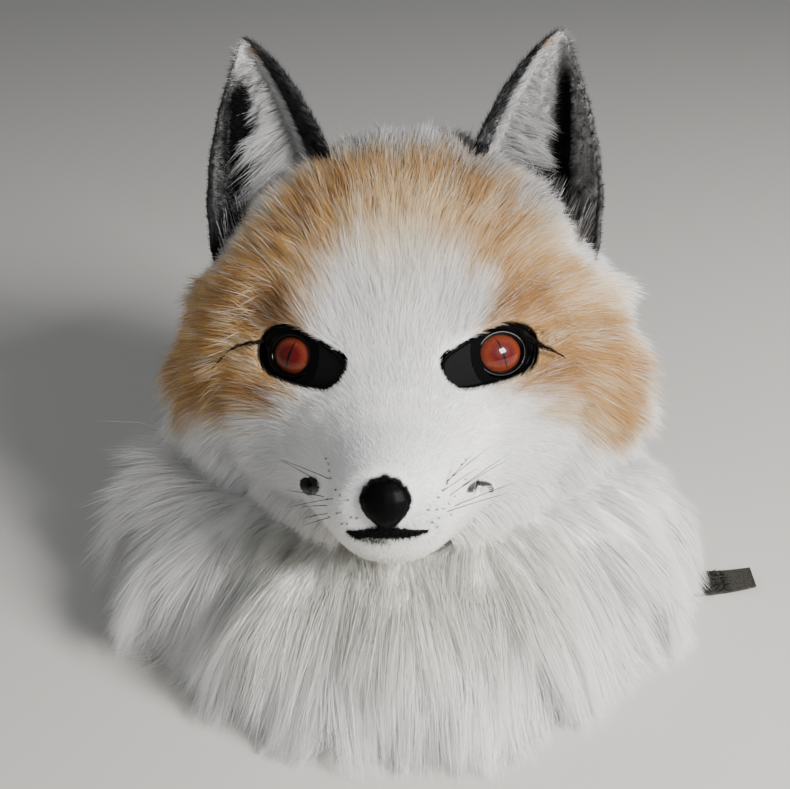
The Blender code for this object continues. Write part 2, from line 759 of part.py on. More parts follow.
def make_lip(frame):
    """A strip of the muzzle's surface, along the mouth."""
    lip = loft("lip", SKULL, frame, SEAT + FACE_PILE + GAP + LIP_THICKNESS)
    outline = []
    for step in range(LIP_STEPS + 1):
        share = 2.0 * step / LIP_STEPS - 1.0
        half = 0.5 * LIP_HEIGHT * (1.0 - LIP_END_TAPER * share ** 2)
        outline.append((LIP_HALF_WIDTH * share, LIP_Z - LIP_DROP * share ** 2, half))
    top = [(x, z + half) for x, z, half in outline]
    bottom = [(x, z - half) for x, z, half in reversed(outline)]
    loop = top + bottom
    points = [(x, y, z) for y in (-FAR, LIP_BACK) for x, z in loop]
    keep_inside(lip, make_object("mouth", points, ring_faces(2, len(loop)), frame))
    return cut(lip, loft("muzzle", SKULL, frame, SEAT + FACE_PILE + GAP))


# Neck ruff

def bump(angle, centre, width):
    """A smooth hump of height 1 at plus and minus an angle."""
    return math.exp(-((abs(angle) - centre) / width) ** 2)


def ruff_point(share, height, turn):
    """A point of the ruff's outside. Turn 0 is straight ahead."""
    angle = math.remainder(turn, math.tau)
    inner = neck_point(turn)
    outer = Vector((RUFF_HEM_RADIUS * math.sin(turn), -RUFF_HEM_RADIUS * math.cos(turn), 0.0))
    point = inner.lerp(outer, share)
    outward = Vector((math.sin(turn), -math.cos(turn), 0.0))
    point -= outward * VALLEY_DEPTH * bump(angle, VALLEY_ANGLE, VALLEY_WIDTH) * min(share * 2.0, 1.0)
    lift = LOBE_LIFT * bump(angle, LOBE_ANGLE, LOBE_WIDTH) * math.sin(math.pi * min(share, 1.0))
    behind = min(max((abs(angle) - NAPE_FROM) / (NAPE_TO - NAPE_FROM), 0.0), 1.0)
    point.z = height * (1.0 - NAPE_DROP * behind * min(share * 2.0, 1.0)) + lift
    return point


def ruff_height(share):
    return float(np.interp(share, column(RUFF, RUFF_LEVEL, "share"), column(RUFF, RUFF_LEVEL, "height")))


def ruff_form():
    points = []
    for share, height in RUFF:
        points += [ruff_point(share, height, math.tau * side / RUFF_SIDES) for side in range(RUFF_SIDES)]
    return make_object("neck_ruff", points, ring_faces(len(RUFF), RUFF_SIDES))


def ruff_hollow():
    """The space between neck and ruff, wider at the surface than at the seam."""
    points = []
    levels = ((RUFF_INNER_HEM + RUFF_INNER_FLARE, -0.02), (SEAT, RUFF_INNER_TOP), (SEAT, FAR))
    for distance, height in levels:
        for side in range(HEAD_SIDES):
            point = neck_point(math.tau * (side + 0.5) / HEAD_SIDES, distance)
            points.append((point.x, point.y, height))
    return make_object("ruff_hollow", points, ring_faces(3, HEAD_SIDES))


def ruff_locks():
    made = []
    for row_number, row in enumerate(RUFF_LOCKS):
        values = dict(zip(RUFF_LOCK, row))
        for index in range(values["count"]):
            turn = math.tau * (index + 0.5 * (row_number % 2)) / values["count"]
            angle = math.remainder(turn, math.tau)
            outward = Vector((math.sin(turn), -math.cos(turn), 0.0))
            height = ruff_height(values["share"])
            root = ruff_point(values["share"], height, turn) - outward * RUFF_LOCK_SUNK
            lobe = LOBE_LOCK_RISE * bump(angle, LOBE_ANGLE, LOBE_WIDTH)
            rise = values["rise"] + lobe * (1.0 - row_number / len(RUFF_LOCKS))
            direction = outward + Vector((0.0, 0.0, rise))
            length = values["length"] * (1.0 + LOCK_UNEVEN * uneven(index, row_number))
            tip = root.z + length * (direction.normalized().z - values["sag"])
            sag = Vector((0.0, 0.0, max(RUFF_LOCK_LOWEST - tip, 0.0) / length - values["sag"]))
            root.z = max(root.z, RUFF_ROOT_LOWEST)
            made.append(lock("lock", root, direction, sag, length, values["width"],
                             Vector((0.0, 0.0, 1.0))))
    return made


def make_neck_ruff(frame):
    ruff = ruff_form()
    for one in ruff_locks():
        fuse(ruff, one)
    cut(ruff, ruff_hollow())
    cut(ruff, loft("hood_form", HOOD, frame, SEAT))
    cut(ruff, loft("face_form", SKULL, frame, SEAT + FACE_PILE + GAP))
    cut(ruff, box("ground", (-FAR, -FAR, -FAR), (FAR, FAR, 0.0)))
    low = (TAB_ROOT_X - GAP, TAB_Y - 0.5 * TAB_WIDTH - GAP, -0.01)
    high = (FAR, TAB_Y + 0.5 * TAB_WIDTH + GAP, TAB_SLOT)
    return cut(ruff, box("tab_slot", low, high))


def make_closure_tab():
    """A limp strip that lies on the surface, from its slot under the hem to a torn end."""
    points = []
    for step in range(TAB_STEPS + 1):
        share = step / TAB_STEPS
        x = TAB_ROOT_X + (TAB_TIP_X - TAB_ROOT_X) * share
        y = TAB_Y + TAB_SWEEP * share
        half = 0.5 * TAB_WIDTH * (1.0 - TAB_NARROWING * share)
        curl = max(share - TAB_CURL_FROM, 0.0) / (1.0 - TAB_CURL_FROM)
        low = GAP + TAB_CURL * curl ** 2
        high = low + TAB_THICKNESS
        points += [(x, y - half, low), (x, y + half, low), (x, y + half, high), (x, y - half, high)]
    return make_object("closure_tab", points, ring_faces(TAB_STEPS + 1, 4))


def finish(thing, material):
    drop_scraps(thing)
    thing.data.materials.clear()
    thing.data.materials.append(material)
    thing.data.shade_smooth()
    thing.data.set_sharp_from_angle(angle=SHARP_ANGLE)


def build():
    clear_scene()
    frame = bpy.data.objects.new("head_frame", None)
    bpy.context.collection.objects.link(frame)
    frame.location = (0.0, 0.0, HEAD_LIFT)
    frame.rotation_euler = (-HEAD_LEAN, 0.0, 0.0)

    shell = make_material("shell", (0.82, 0.80, 0.76), 0.55)
    face_pile = make_material("face_pile", (0.86, 0.85, 0.83), 0.85)
    hood_pile = make_material("hood_pile", (0.62, 0.38, 0.16), 0.85)
    ear_pile = make_material("ear_pile", (0.16, 0.16, 0.17), 0.9)
    tuft_pile = make_material("tuft_pile", (0.86, 0.85, 0.83), 0.85)
    ruff_pile = make_material("ruff_pile", (0.88, 0.88, 0.87), 0.85)
    lid_black = make_material("lid_black", (0.008, 0.008, 0.009), 0.12)
    iris = make_material("iris", (0.55, 0.05, 0.02), 0.06)
    vision_mesh = make_material("vision_mesh", (0.015, 0.015, 0.016), 0.6)
    nose_black = make_material("nose_black", (0.012, 0.012, 0.013), 0.3)
    tab_mesh = make_material("tab_mesh", (0.05, 0.05, 0.05), 0.7)

    finish(make_head_base(frame), shell)
    finish(make_face_fur(frame), face_pile)
    finish(make_hood_fur(frame), hood_pile)
    pairs = (
        (make_ear(frame), ear_pile),
        (make_ear_tuft(frame), tuft_pile),
        (make_eye_rim(frame), lid_black),
        (make_eye_dome(frame), iris),
        (make_eye_mesh(frame), vision_mesh),
    )
    for left, material in pairs:
        finish(left, material)
        mirror_to_right(left, left.name.replace("_left", "_right"))
    finish(make_nose(frame), nose_black)
    finish(make_lip(frame), nose_black)
    finish(make_neck_ruff(frame), ruff_pile)
    finish(make_closure_tab(), tab_mesh)


build()
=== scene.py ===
"""Looks of the fox fursuit head: fur pile, eyes, nose, whiskers and stage.

Metres, +Z up. The face looks along -Y and the object's own left is +X. Places on the head
are given in the head frame, which leans back over the neck opening.
"""
import math

import bpy
import numpy as np
from mathutils import Matrix, Vector
from mathutils.bvhtree import BVHTree
from mathutils.kdtree import KDTree


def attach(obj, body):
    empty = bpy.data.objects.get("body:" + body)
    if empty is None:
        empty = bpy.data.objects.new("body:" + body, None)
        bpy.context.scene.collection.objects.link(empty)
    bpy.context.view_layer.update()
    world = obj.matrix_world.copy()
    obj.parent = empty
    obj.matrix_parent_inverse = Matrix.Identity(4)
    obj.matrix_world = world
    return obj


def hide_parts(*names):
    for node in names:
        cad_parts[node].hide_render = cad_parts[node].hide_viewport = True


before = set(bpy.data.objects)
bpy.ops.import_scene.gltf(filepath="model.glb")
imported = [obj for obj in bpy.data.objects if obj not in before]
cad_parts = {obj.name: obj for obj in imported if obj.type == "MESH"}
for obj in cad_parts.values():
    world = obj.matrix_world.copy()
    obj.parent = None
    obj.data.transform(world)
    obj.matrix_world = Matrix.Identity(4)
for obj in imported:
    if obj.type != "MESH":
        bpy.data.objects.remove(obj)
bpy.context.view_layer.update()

bl_info = {
    "name": "Fox fursuit head",
    "version": (1, 0, 0),
    "blender": (4, 5, 0),
    "location": "3D View > Sidebar > Fursuit",
    "description": "Dresses the fursuit head with fur pile, eyes, nose and whiskers",
    "category": "Object",
}

# Head frame
HEAD_LEAN = math.radians(13.0)         # the face looks this far up
HEAD_ORIGIN = np.array((0.0, 0.0, 0.132))
HEAD_AXES = np.array((
    (1.0, 0.0, 0.0),
    (0.0, math.cos(HEAD_LEAN), -math.sin(HEAD_LEAN)),
    (0.0, math.sin(HEAD_LEAN), math.cos(HEAD_LEAN)),
))
NOSE_TIP = np.array((0.0, -0.1800, -0.0100))
SKULL_CORE = np.array((0.0, 0.0200, 0.0200))
HOOD_SPLIT = (0.035, 0.055)            # y where the rear starts, z where the crown starts
RUFF_SPLIT = 0.02                      # row frame y where the rear of the ruff starts
EYE_BARE = 0.0006                      # hair keeps this far from the eyes' outlines
FLOOR_CLEAR = 0.0012                   # hair stays this far above the floor
MM = 0.001
SIDES = {"left": 1.0, "right": -1.0}

# Eye frame, left eye: outward from the iris, up, and facing out of the eye
EYE_CENTRE = np.array((0.0565, -0.0835, 0.0395))
EYE_YAW = math.radians(35.5)
EYE_LEAN = math.radians(12.0)
# Eye opening. Columns: outward, up
EYE_OUTLINE = (
    (0.0238, 0.0050),
    (0.0190, 0.0117),
    (0.0060, 0.0147),
    (-0.0080, 0.0117),
    (-0.0340, 0.0025),
    (-0.0378, -0.0065),
    (-0.0325, -0.0143),
    (-0.0120, -0.0153),
    (0.0120, -0.0125),
    (0.0212, -0.0045),
)
EYE_SMOOTH = 6
IRIS_TURN = math.radians(11.5)
IRIS_WIDE = 0.0127
IRIS_HIGH = 0.0105
IRIS_BULGE = 0.0042
PUPIL_LEAN = 0.26                      # how far the slit leans, as a slope
PUPIL_HALF = 0.00115                   # half width of the slit at its middle
PUPIL_TAPER = 0.11                     # it narrows by this for each metre from the middle
PUPIL_SOFT = 0.0003                    # width of its soft edge
LID_BACK = -0.0045
LID_FRONT = 0.0010
LID_LIP = 0.0008
LID_RING = 0.0017
LID_FLANGE = (0.0024, 0.0022)          # how far it reaches past the outline, and lies behind it
# Arc where the lid ends and the vision panel starts: its centre, outward, and its radius
PANEL_EDGE = (0.0040, 0.0235)
PANEL_FRONT = 0.0006
PANEL_BACK = -0.0030
PANEL_INNER = -0.0135                  # the black sheet of painted shade behind the panel reaches this far out in the eye
WEAVE_PITCH = 0.00105
WEAVE_WIRE = 0.00030
WEAVE_RISE = 0.00014                   # how far a thread goes over and under the others
WEAVE_CLEAR = 0.00015                  # middle of the weave in front of the black sheet of painted shade

# Cheek vents, head frame. Columns: x, y and z of the middle, half width, depth and height,
# how dark the painted shade in the hollow is, and where an arch of painted shadow under the
# upper edge starts, in half sizes, or 0 where the whole vent is painted dark
VENTS = (
    (-0.0443, -0.1254, -0.0229, 0.0140, 0.0181, 0.0051, 0.97, 0.0),
    (0.0445, -0.1217, -0.0276, 0.0140, 0.0185, 0.0063, 0.85, 0.62),
)
VENT_SLOPE = 0.357                     # a vent climbs this much towards the nose
VENT_TRIES = 9000                      # hairs tried round each vent; those inside it stay
VENT_HAIR = 0.00042
# Box round the lip that stays bare of white hair, head frame. Half width, lowest, highest
LIP_BARE = (0.0215, -0.0325, -0.0245)
LIP_BEHIND = -0.145                    # head frame y; the muzzle behind this has no lip

# Pile of the head. Columns: distance from the nose, length
PILE_LENGTHS = (
    (0.000, 0.0032),
    (0.050, 0.0042),
    (0.085, 0.0065),
    (0.110, 0.0110),
    (0.135, 0.0220),
    (0.170, 0.0285),
    (0.230, 0.0320),
)

# Outlines of the tan patches from the front, head frame, millimetres. Columns: x, z
PATCH_RIGHT = (
    (12, 99), (-15, 90), (-28, 80), (-38, 67), (-45, 55), (-50, 38), (-53, 22), (-62, 9),
    (-78, 4), (-104, -3), (-133, -8), (-147, 10), (-146, 40),
    (-120, 72), (-88, 98), (-62, 124), (-43, 137), (12, 141),
)
PATCH_LEFT = (
    (-12, 99), (17, 90), (32, 82), (43, 67), (46, 54), (52, 38), (58, 22), (72, 12),
    (91, -1), (104, -16), (118, -24), (138, -8), (141, 22), (130, 42),
    (104, 70), (84, 92), (66, 118), (41, 135), (-12, 140),
)
PATCH_SOFT = 7.0                       # width of a patch's soft edge, millimetres
PATCH_BACK = (0.004, 0.030)            # head frame y over which the patches fade at the back

# Spots of another colour in the coat, head frame, millimetres.
# Columns: x, y, z, width, height, strength
OCHRE_SPOTS = (
    (-30, -37, 119, 7, 16, 0.9),
    (-44, -47, 106, 9, 15, 0.8),
    (-62, -47, 95, 12, 10, 0.7),
    (35, -37, 124, 10, 15, 0.8),
    (52, -50, 100, 9, 12, 0.5),
    (60, -80, 60, 16, 9, 1.0),
    (-62, -80, 60, 17, 10, 1.0),
    (84, -78, 26, 14, 11, 0.9),
    (68, -84, 19, 14, 7, 0.7),
    (-70, -84, 17, 14, 9, 0.9),
    (-104, -60, 12, 22, 9, 0.6),
    (-92, -50, 66, 18, 10, 0.5),
    (104, -50, 40, 16, 12, 0.5),
    (118, -40, 0, 12, 16, 0.5),
)
GREY_SPOTS = (
    (114, 5, 84, 14, 8, 0.75),
    (-116, 4, 84, 12, 8, 0.45),
    (0, 12, 150, 36, 10, 0.60),
    (-32, 18, 147, 18, 9, 0.55),
    (34, 16, 146, 18, 9, 0.50),
    (74, -14, 108, 22, 17, 0.90),
    (48, -4, 130, 24, 15, 0.60),
    (-4, -2, 140, 40, 9, 0.40),
)
CREAM_SPOTS = (
    (117, -23, 60, 16, 10, 0.9),
    (84, -30, 96, 12, 12, 0.8),
    (-84, -30, 98, 12, 12, 0.7),
    (0, -140, -60, 60, 20, 0.3),
    (3, -60, 97, 28, 21, 0.85),
)

EAR_FOOT = (0.094, -0.015, 0.086)      # the coat is shorter round this place
# Share of the ear's width that its dark inner rim takes
EAR_RIM = {"left": 0.115, "right": 0.185}
# Ear rows from the hood up to the tip, left ear, head frame.
# Columns: x and z of the inner edge, x and z of the outer edge, y of both, depth of the cup
EAR = (
    (0.0330, 0.1180, 0.1150, 0.0620, 0.000, 0.040),
    (0.0400, 0.1400, 0.1205, 0.0860, 0.003, 0.039),
    (0.0490, 0.1600, 0.1225, 0.1130, 0.008, 0.035),
    (0.0600, 0.1790, 0.1200, 0.1420, 0.014, 0.029),
    (0.0730, 0.1960, 0.1140, 0.1700, 0.021, 0.021),
    (0.0850, 0.2070, 0.1065, 0.1925, 0.027, 0.012),
    (0.0940, 0.2125, 0.1005, 0.2080, 0.030, 0.006),
)

# Whiskers. Columns: x, y and z of the root, head frame, and length, in millimetres, then
# angle back from straight out and rise, in degrees
WHISKERS = (
    (-30, -154, -9, 29, 21, 17),
    (-39, -136, -16, 24, 27, 21),
    (-33, -150, -20, 23, 25, 3),
    (-24, -170, -13, 28, 21, -14),
    (-31, -157, -22, 18, 35, -11),
    (-30, -157, -26, 19, 33, -17),
    (-26, -166, -24, 22, 30, -21),
    (28, -160, -10, 21, 37, 39),
    (28, -160, -9, 28, 26, 34),
    (25, -168, -12, 23, 29, 27),
    (30, -160, -16, 35, 20, 33),
    (37, -142, -17, 27, 24, 26),
    (33, -152, -24, 32, 19, 18),
    (27, -165, -23, 33, 18, 14),
)
# Dots at the whiskers' roots, head frame, millimetres. Columns: x, z
DOTS = (
    (-32, -2), (-30, -3), (-29, -5), (-28, -7), (-24, -9), (-21, -10), (-17, -11), (-30, -17),
    (-23, -19), (-21, -18), (-29, -25), (-16, -19), (-13, -19), (-21, -24), (-18, -23),
    (37, -5), (35, -6), (31, -8), (28, -9), (26, -10), (24, -12), (37, -14), (19, -16),
    (23, -17), (26, -18), (32, -18), (29, -18), (21, -23), (23, -27), (30, -26), (24, -22),
)

# Dark lines that run outward from the eye corners, head frame, millimetres. Columns: x, y, z
LASH_RIGHT = (
    (-74.9, -73.4, 45.6), (-78.4, -76.3, 45.7), (-84.3, -72.5, 44.1), (-90.1, -66.9, 42.0),
    (-95.6, -63.5, 39.0), (-100.5, -60.7, 34.8), (-105.6, -57.8, 29.5),
)
LASH_LEFT = (
    (68.2, -77.8, 48.5), (72.6, -76.8, 46.0), (77.0, -77.3, 43.8), (81.9, -77.4, 42.1),
    (86.5, -74.9, 39.2), (91.4, -69.0, 35.5),
)
LASH_SPECKS = (
    (76.4, -77.4, 50.0), (79.8, -75.2, 48.4), (83.8, -73.4, 46.8), (83.2, -74.7, 43.7),
    (88.5, -68.5, 42.9), (92.6, -66.8, 39.0), (73.2, -75.4, 50.8),
)

# How far the ruff's hair reaches. Columns: degrees from straight ahead to the left, millimetres
RUFF_REACH = (
    (-180, 205), (-130, 214), (-91, 223), (-76, 209), (-56, 210), (-36, 204), (5, 212),
    (32, 210), (62, 199), (74, 196), (96, 194), (120, 199), (180, 205),
)
RUFF_CAPS = (0.226, 0.229)             # most that it may reach in front and elsewhere

# Softened copies of CAD nodes: voxel size, rounds of smoothing, share of the faces kept
SOFT_FACE = (0.0018, 10, 0.40)
SOFT_HOOD = (0.0045, 16, 0.6)
SOFT_RUFF = ((0.0100, 8), (0.0050, 14, 0.7))
SOFT_EAR = (0.0016, 6, 0.4)
SOFT_NOSE = (0.0008, 5, 0.5)
SOFT_LIP = (0.0005, 4, 0.5)
RUFF_SUNK = 0.003                      # the ruff's dense pile lies this far inside its solid

# Small hairs: how many, and how wide each is at its root
JAW_HAIRS = 9000
NOSE_HAIRS = 2400
NOSE_HAIR = 0.00019
LIP_HAIRS = 2200
LIP_STROKES = 150
LIP_HAIR = 0.00032
WHISKER_WIDTH = 0.00044
DOT_HAIRS = 6
DOT_HAIR = 0.00040
LASH_HAIRS = 170
SPECK_HAIRS = 4
SPECK_HAIR = 0.00034
FUZZ_HAIRS = 900
FUZZ_HAIR = 0.0003

# Colours of the small pieces, as display values
# Painted shade in the cheek vents: dark in the hollow, lighter towards its bottom, and greyer where
# a vent is painted less dark
VENT_SHADE = (10, 10, 11)
VENT_LIT = (176, 174, 172)
VENT_HALF_SHADE = (150, 148, 146)
THREAD_BLACK = (22, 22, 24)
# Black sheet of painted shade behind the vision weave, for the dark inside of the head
PANEL_SHADE_BLACK = (4, 4, 5)
NOSE_HAIR_BLACK = (20, 20, 22)
LIP_BLACK = (8, 8, 9)
LIP_HAIR_BLACK = (16, 16, 18)
LIP_STROKE_GREY = (110, 106, 108)
WHISKER_GREY = (52, 50, 52)
DOT_GREY = (88, 86, 94)
LASH_BLACK = (24, 20, 20)
SPECK_BROWN = (88, 56, 34)
TAB_CLOTH = (58, 58, 60)
TAB_THREADS = {"Color1": (82, 80, 74), "Color2": (52, 50, 47), "Mortar": (14, 14, 15)}
FUZZ_BLACK = (24, 24, 25)
SHELL_WHITE = (214, 210, 202)
SOCKET_BLACK = (7, 7, 8)
SOCKET_PAINT = (0.040, 0.043)          # distance from the eye over which its black paint ends

# Stage
CAMERA_TARGET = np.array((-0.0025, -0.060, 0.157))
CAMERA_DISTANCE = 0.66
CAMERA_PITCH = math.radians(28.0)
CAMERA_TURN = math.radians(4.5)
CAMERA_ROLL = math.radians(-2.5)
CAMERA_LENS = 52.4
CAMERA_SENSOR = 36.0
FLOOR_SIZE = 16.0
LIGHT_TARGET = (0.0, -0.05, 0.14)
KEY_PLACE = (1.26, -0.98, 0.98)
KEY_SIZE = 0.52
KEY_COLOUR = (1.0, 0.99, 0.97)
FILL_PLACE = (-1.2, -0.8, 0.9)
FILL_SIZE = 1.4
FILL_COLOUR = (0.94, 0.97, 1.0)
SKY_COLOUR = (0.80, 0.82, 0.85, 1.0)
SKY_STRENGTH = 0.26


def srgb(red, green, blue):
    """Linear colour from 0 to 255 display values."""
    share = np.array((red, green, blue)) / 255.0
    return np.where(share <= 0.04045, share / 12.92, ((share + 0.055) / 1.055) ** 2.4)


def plain(colour):
    """The colour as four numbers for a socket or a property."""
    return tuple(float(part) for part in colour[:3]) + (1.0,)


def to_row(points):
    """Head frame to row frame."""
    return HEAD_ORIGIN + np.asarray(points, float) @ HEAD_AXES


def to_head(points):
    """Row frame to head frame."""
    return (np.asarray(points, float) - HEAD_ORIGIN) @ HEAD_AXES.T


def head_way(directions):
    """Row-frame directions in the head frame."""
    return directions @ HEAD_AXES.T


def unit(vectors):
    """Vectors brought to length 1."""
    vectors = np.asarray(vectors, float)
    return vectors / np.maximum(np.linalg.norm(vectors, axis=-1, keepdims=True), 1e-12)


def ease(value, start, end):
    """0 at start, 1 at end, smooth between them."""
    share = np.clip((np.asarray(value, float) - start) / (end - start), 0.0, 1.0)
    return share * share * (3.0 - 2.0 * share)


def mix(first, second, share):
    """Blend of two values or colours."""
    return first + (second - first) * share


def within(values):
    """Values kept between 0 and 1."""
    return np.clip(values, 0.0, 1.0)


def blend(first, second, shares):
    """Blend of two colours, with a share for each point."""
    return mix(first, second, shares[:, None])


def ripple(points, scale, seed):
    """Smooth noise between 0 and 1, from waves that run in several directions."""
    rng = np.random.default_rng(seed)
    total = np.zeros(len(points))
    waves = 7
    for wave in range(waves):
        along = unit(rng.normal(size=points.shape[1]))
        turns = 2.0 * math.pi / scale * rng.uniform(0.6, 1.7)
        total += np.sin(points @ along * turns + rng.uniform(0.0, 2.0 * math.pi))
    return np.clip(0.5 + 0.8 * total / waves, 0.0, 1.0)


# Coat colours

def patch_depth(points, outline):
    """How far inside the outline each point lies, in millimetres; negative outside."""
    corners = np.array(outline, float)
    following = np.roll(corners, -1, axis=0)
    nearest = np.full(len(points), 1e9)
    inside = np.zeros(len(points), bool)
    for start, end in zip(corners, following):
        edge = end - start
        share = np.clip(((points - start) @ edge) / (edge @ edge), 0.0, 1.0)
        gap = np.linalg.norm(points - (start + share[:, None] * edge), axis=1)
        nearest = np.minimum(nearest, gap)
        crosses = (start[1] > points[:, 1]) != (end[1] > points[:, 1])
        rise = end[1] - start[1] if end[1] != start[1] else 1e-9
        at = start[0] + (points[:, 1] - start[1]) / rise * edge[0]
        inside ^= crosses & (points[:, 0] < at)
    return np.where(inside, nearest, -nearest)


def spot_weight(head, spots):
    """Strongest of the soft spots at each head-frame point."""
    weight = np.zeros(len(head))
    for x, y, z, wide, high, strength in spots:
        gap = (head - np.array((x, y, z)) * MM) / (np.array((wide, 2.2 * wide, high)) * MM)
        weight = np.maximum(weight, strength * np.exp(-(gap ** 2).sum(1)))
    return weight


def vent_place(head, row):
    """Place in a cheek vent, in half sizes from its middle, for head-frame points."""
    x, y, z, wide, deep, high = row[:6]
    away = head - (x, y, z)
    away[:, 2] += VENT_SLOPE * away[:, 1]
    return away / (wide, deep, high)


def coat_colour(points, rng, colours):
    """Colour of the pile that roots at each row-frame point."""
    head = to_head(points)
    flat = head[:, (0, 2)] / MM
    reach = np.linalg.norm(head - NOSE_TIP, axis=1)
    turn = np.arctan2(head[:, 2] + 0.01, head[:, 0])
    combed = np.stack((turn * 0.11, reach * 0.16), axis=1)
    streak = ripple(combed, 0.016, 5) - 0.5
    fine = ripple(combed, 0.0055, 6) - 0.5
    depth = np.maximum(patch_depth(flat, PATCH_RIGHT), patch_depth(flat, PATCH_LEFT))
    depth = depth + 11.0 * streak + 6.0 * fine + rng.normal(0.0, 3.0, len(head))
    tan = ease(depth, -PATCH_SOFT, 1.6 * PATCH_SOFT)
    tan *= 1.0 - ease(head[:, 1], PATCH_BACK[0], PATCH_BACK[1])
    stray = rng.random(len(head))
    tan = within(tan * (1.02 - 0.75 * (stray > 0.90 - 0.20 * fine)))
    white = blend(colours["white"], colours["pale"], ripple(head, 0.05, 7))
    ochre = within(spot_weight(head, OCHRE_SPOTS) * (0.75 + 1.1 * fine) + 0.25 * streak)
    warm = blend(colours["tan"], colours["cream"], np.clip(0.30 + 1.0 * fine, 0.0, 0.75))
    warm = blend(warm, colours["ochre"], within(ochre * 1.2))
    colour = blend(white, warm, tan)
    colour = blend(colour, colours["cream"], 0.8 * spot_weight(head, CREAM_SPOTS))
    grey = within(spot_weight(head, GREY_SPOTS) * (0.8 + 1.2 * fine))
    grey = grey * (rng.random(len(head)) < 0.75)
    colour = blend(colour, colours["smoke"], grey)
    # Painted shade in the cheek vents: the coat darkens into each hollow, only under its upper edge
    # where the vent has an arch, and less towards the bottom where it has none
    for row in VENTS:
        dark, arch = row[6:]
        place = vent_place(head, row)
        gap = np.linalg.norm(place, axis=1)
        depth = dark * ease(gap, 1.10, 0.90)
        if arch:
            depth = depth * ease(gap, arch, arch + 0.15) * ease(place[:, 2], -0.1, 0.3)
        else:
            depth = depth * mix(0.62, 1.0, ease(place[:, 2], -0.9, 0.2))
        colour = colour * (1.0 - depth)[:, None]
    # Painted shade: the coat darkens towards the top of the crown, and more on the crown's left
    # (+X) side
    crown = mix(1.0, 0.86, ease(head[:, 2], 0.110, 0.138))
    crown = crown * mix(1.0, 0.88, ease(head[:, 2], 0.095, 0.125) * ease(head[:, 0], 0.0, 0.04))
    return colour * (crown * rng.uniform(0.93, 1.05, len(head)))[:, None]


# Working on pieces

def alone(piece):
    """Makes the piece the only selected and active object."""
    bpy.ops.object.select_all(action="DESELECT")
    piece.select_set(True)
    bpy.context.view_layer.objects.active = piece


def linked(name, data):
    """A new object in the scene that holds the data."""
    piece = bpy.data.objects.new(name, data)
    bpy.context.scene.collection.objects.link(piece)
    return piece


def edited(piece, operate, **settings):
    """Runs an edit-mode operator on the whole of the piece's mesh."""
    alone(piece)
    bpy.ops.object.mode_set(mode="EDIT")
    bpy.ops.mesh.select_all(action="SELECT")
    operate(**settings)
    bpy.ops.object.mode_set(mode="OBJECT")
    return piece


def settle(piece, name):
    """Names the piece and puts its place into its mesh."""
    piece.name = name
    piece.data.name = name
    alone(piece)
    bpy.ops.object.transform_apply(location=True, rotation=True, scale=True)
    return piece


def copy_of(node, name):
    """A merged copy of a CAD node, free of the frame."""
    piece = linked(name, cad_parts[node].data.copy())
    piece.data.name = name
    piece.data.materials.clear()
    return edited(piece, bpy.ops.mesh.remove_doubles, threshold=1e-6)


def apply(piece, kind, **settings):
    """Adds a modifier to the piece and applies it."""
    modifier = piece.modifiers.new(kind.title(), kind)
    for key, value in settings.items():
        setattr(modifier, key, value)
    alone(piece)
    bpy.ops.object.modifier_apply(modifier=modifier.name)
    return piece


def soften(piece, voxel, rounds, share=1.0):
    """One even, smooth skin from a faceted copy."""
    apply(piece, "REMESH", mode="VOXEL", voxel_size=voxel)
    apply(piece, "SMOOTH", factor=0.5, iterations=rounds)
    if share < 1.0:
        apply(piece, "DECIMATE", ratio=share)
    piece.data.shade_smooth()
    return piece


def pull(piece, centre, reach, shift):
    """Draws the skin near a head-frame point along a head-frame shift, with soft edges."""
    place = Vector(to_row(centre))
    gaps = [(vertex.co - place).length for vertex in piece.data.vertices]
    nearest = min(range(len(gaps)), key=gaps.__getitem__)
    alone(piece)
    bpy.ops.object.mode_set(mode="EDIT")
    bpy.ops.mesh.select_all(action="DESELECT")
    bpy.ops.object.mode_set(mode="OBJECT")
    piece.data.vertices[nearest].select = True
    bpy.ops.object.mode_set(mode="EDIT")
    bpy.ops.transform.translate(
        value=tuple(np.asarray(shift, float) @ HEAD_AXES), use_proportional_edit=True,
        proportional_edit_falloff="SMOOTH", proportional_size=reach,
    )
    bpy.ops.object.mode_set(mode="OBJECT")


def seated(piece, slot_name, material, *nodes):
    """Gives the piece its material and body, and hides the CAD nodes it stands for; the slot name
    is not used.
    """
    if material is not None:
        piece.data.materials.clear()
        piece.data.materials.append(material)
    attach(piece, "root")
    if nodes:
        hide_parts(*nodes)
    return piece


def tinted(piece, colours):
    """Stores a colour for each vertex of the piece."""
    layer = piece.data.color_attributes.new("pile_colour", "FLOAT_COLOR", "POINT")
    values = np.ones((len(piece.data.vertices), 4), np.float32)
    values[:, :3] = colours
    layer.data.foreach_set("color", values.ravel())
    return piece


def vertex_values(piece, key):
    """The place (co) or normal of each vertex of the piece, as an array."""
    values = np.zeros(len(piece.data.vertices) * 3, np.float32)
    piece.data.vertices.foreach_get(key, values)
    return values.reshape(-1, 3).astype(float)


def tree_of(piece):
    """A search tree of the piece's surface."""
    piece.data.calc_loop_triangles()
    corners = [vertex.co.copy() for vertex in piece.data.vertices]
    faces = [tuple(face.vertices) for face in piece.data.loop_triangles]
    return BVHTree.FromPolygons(corners, faces)


def gaps_to(tree, points):
    """How far each point lies from the tree's surface."""
    return np.array([tree.find_nearest(Vector(point))[3] for point in points])


# Strands

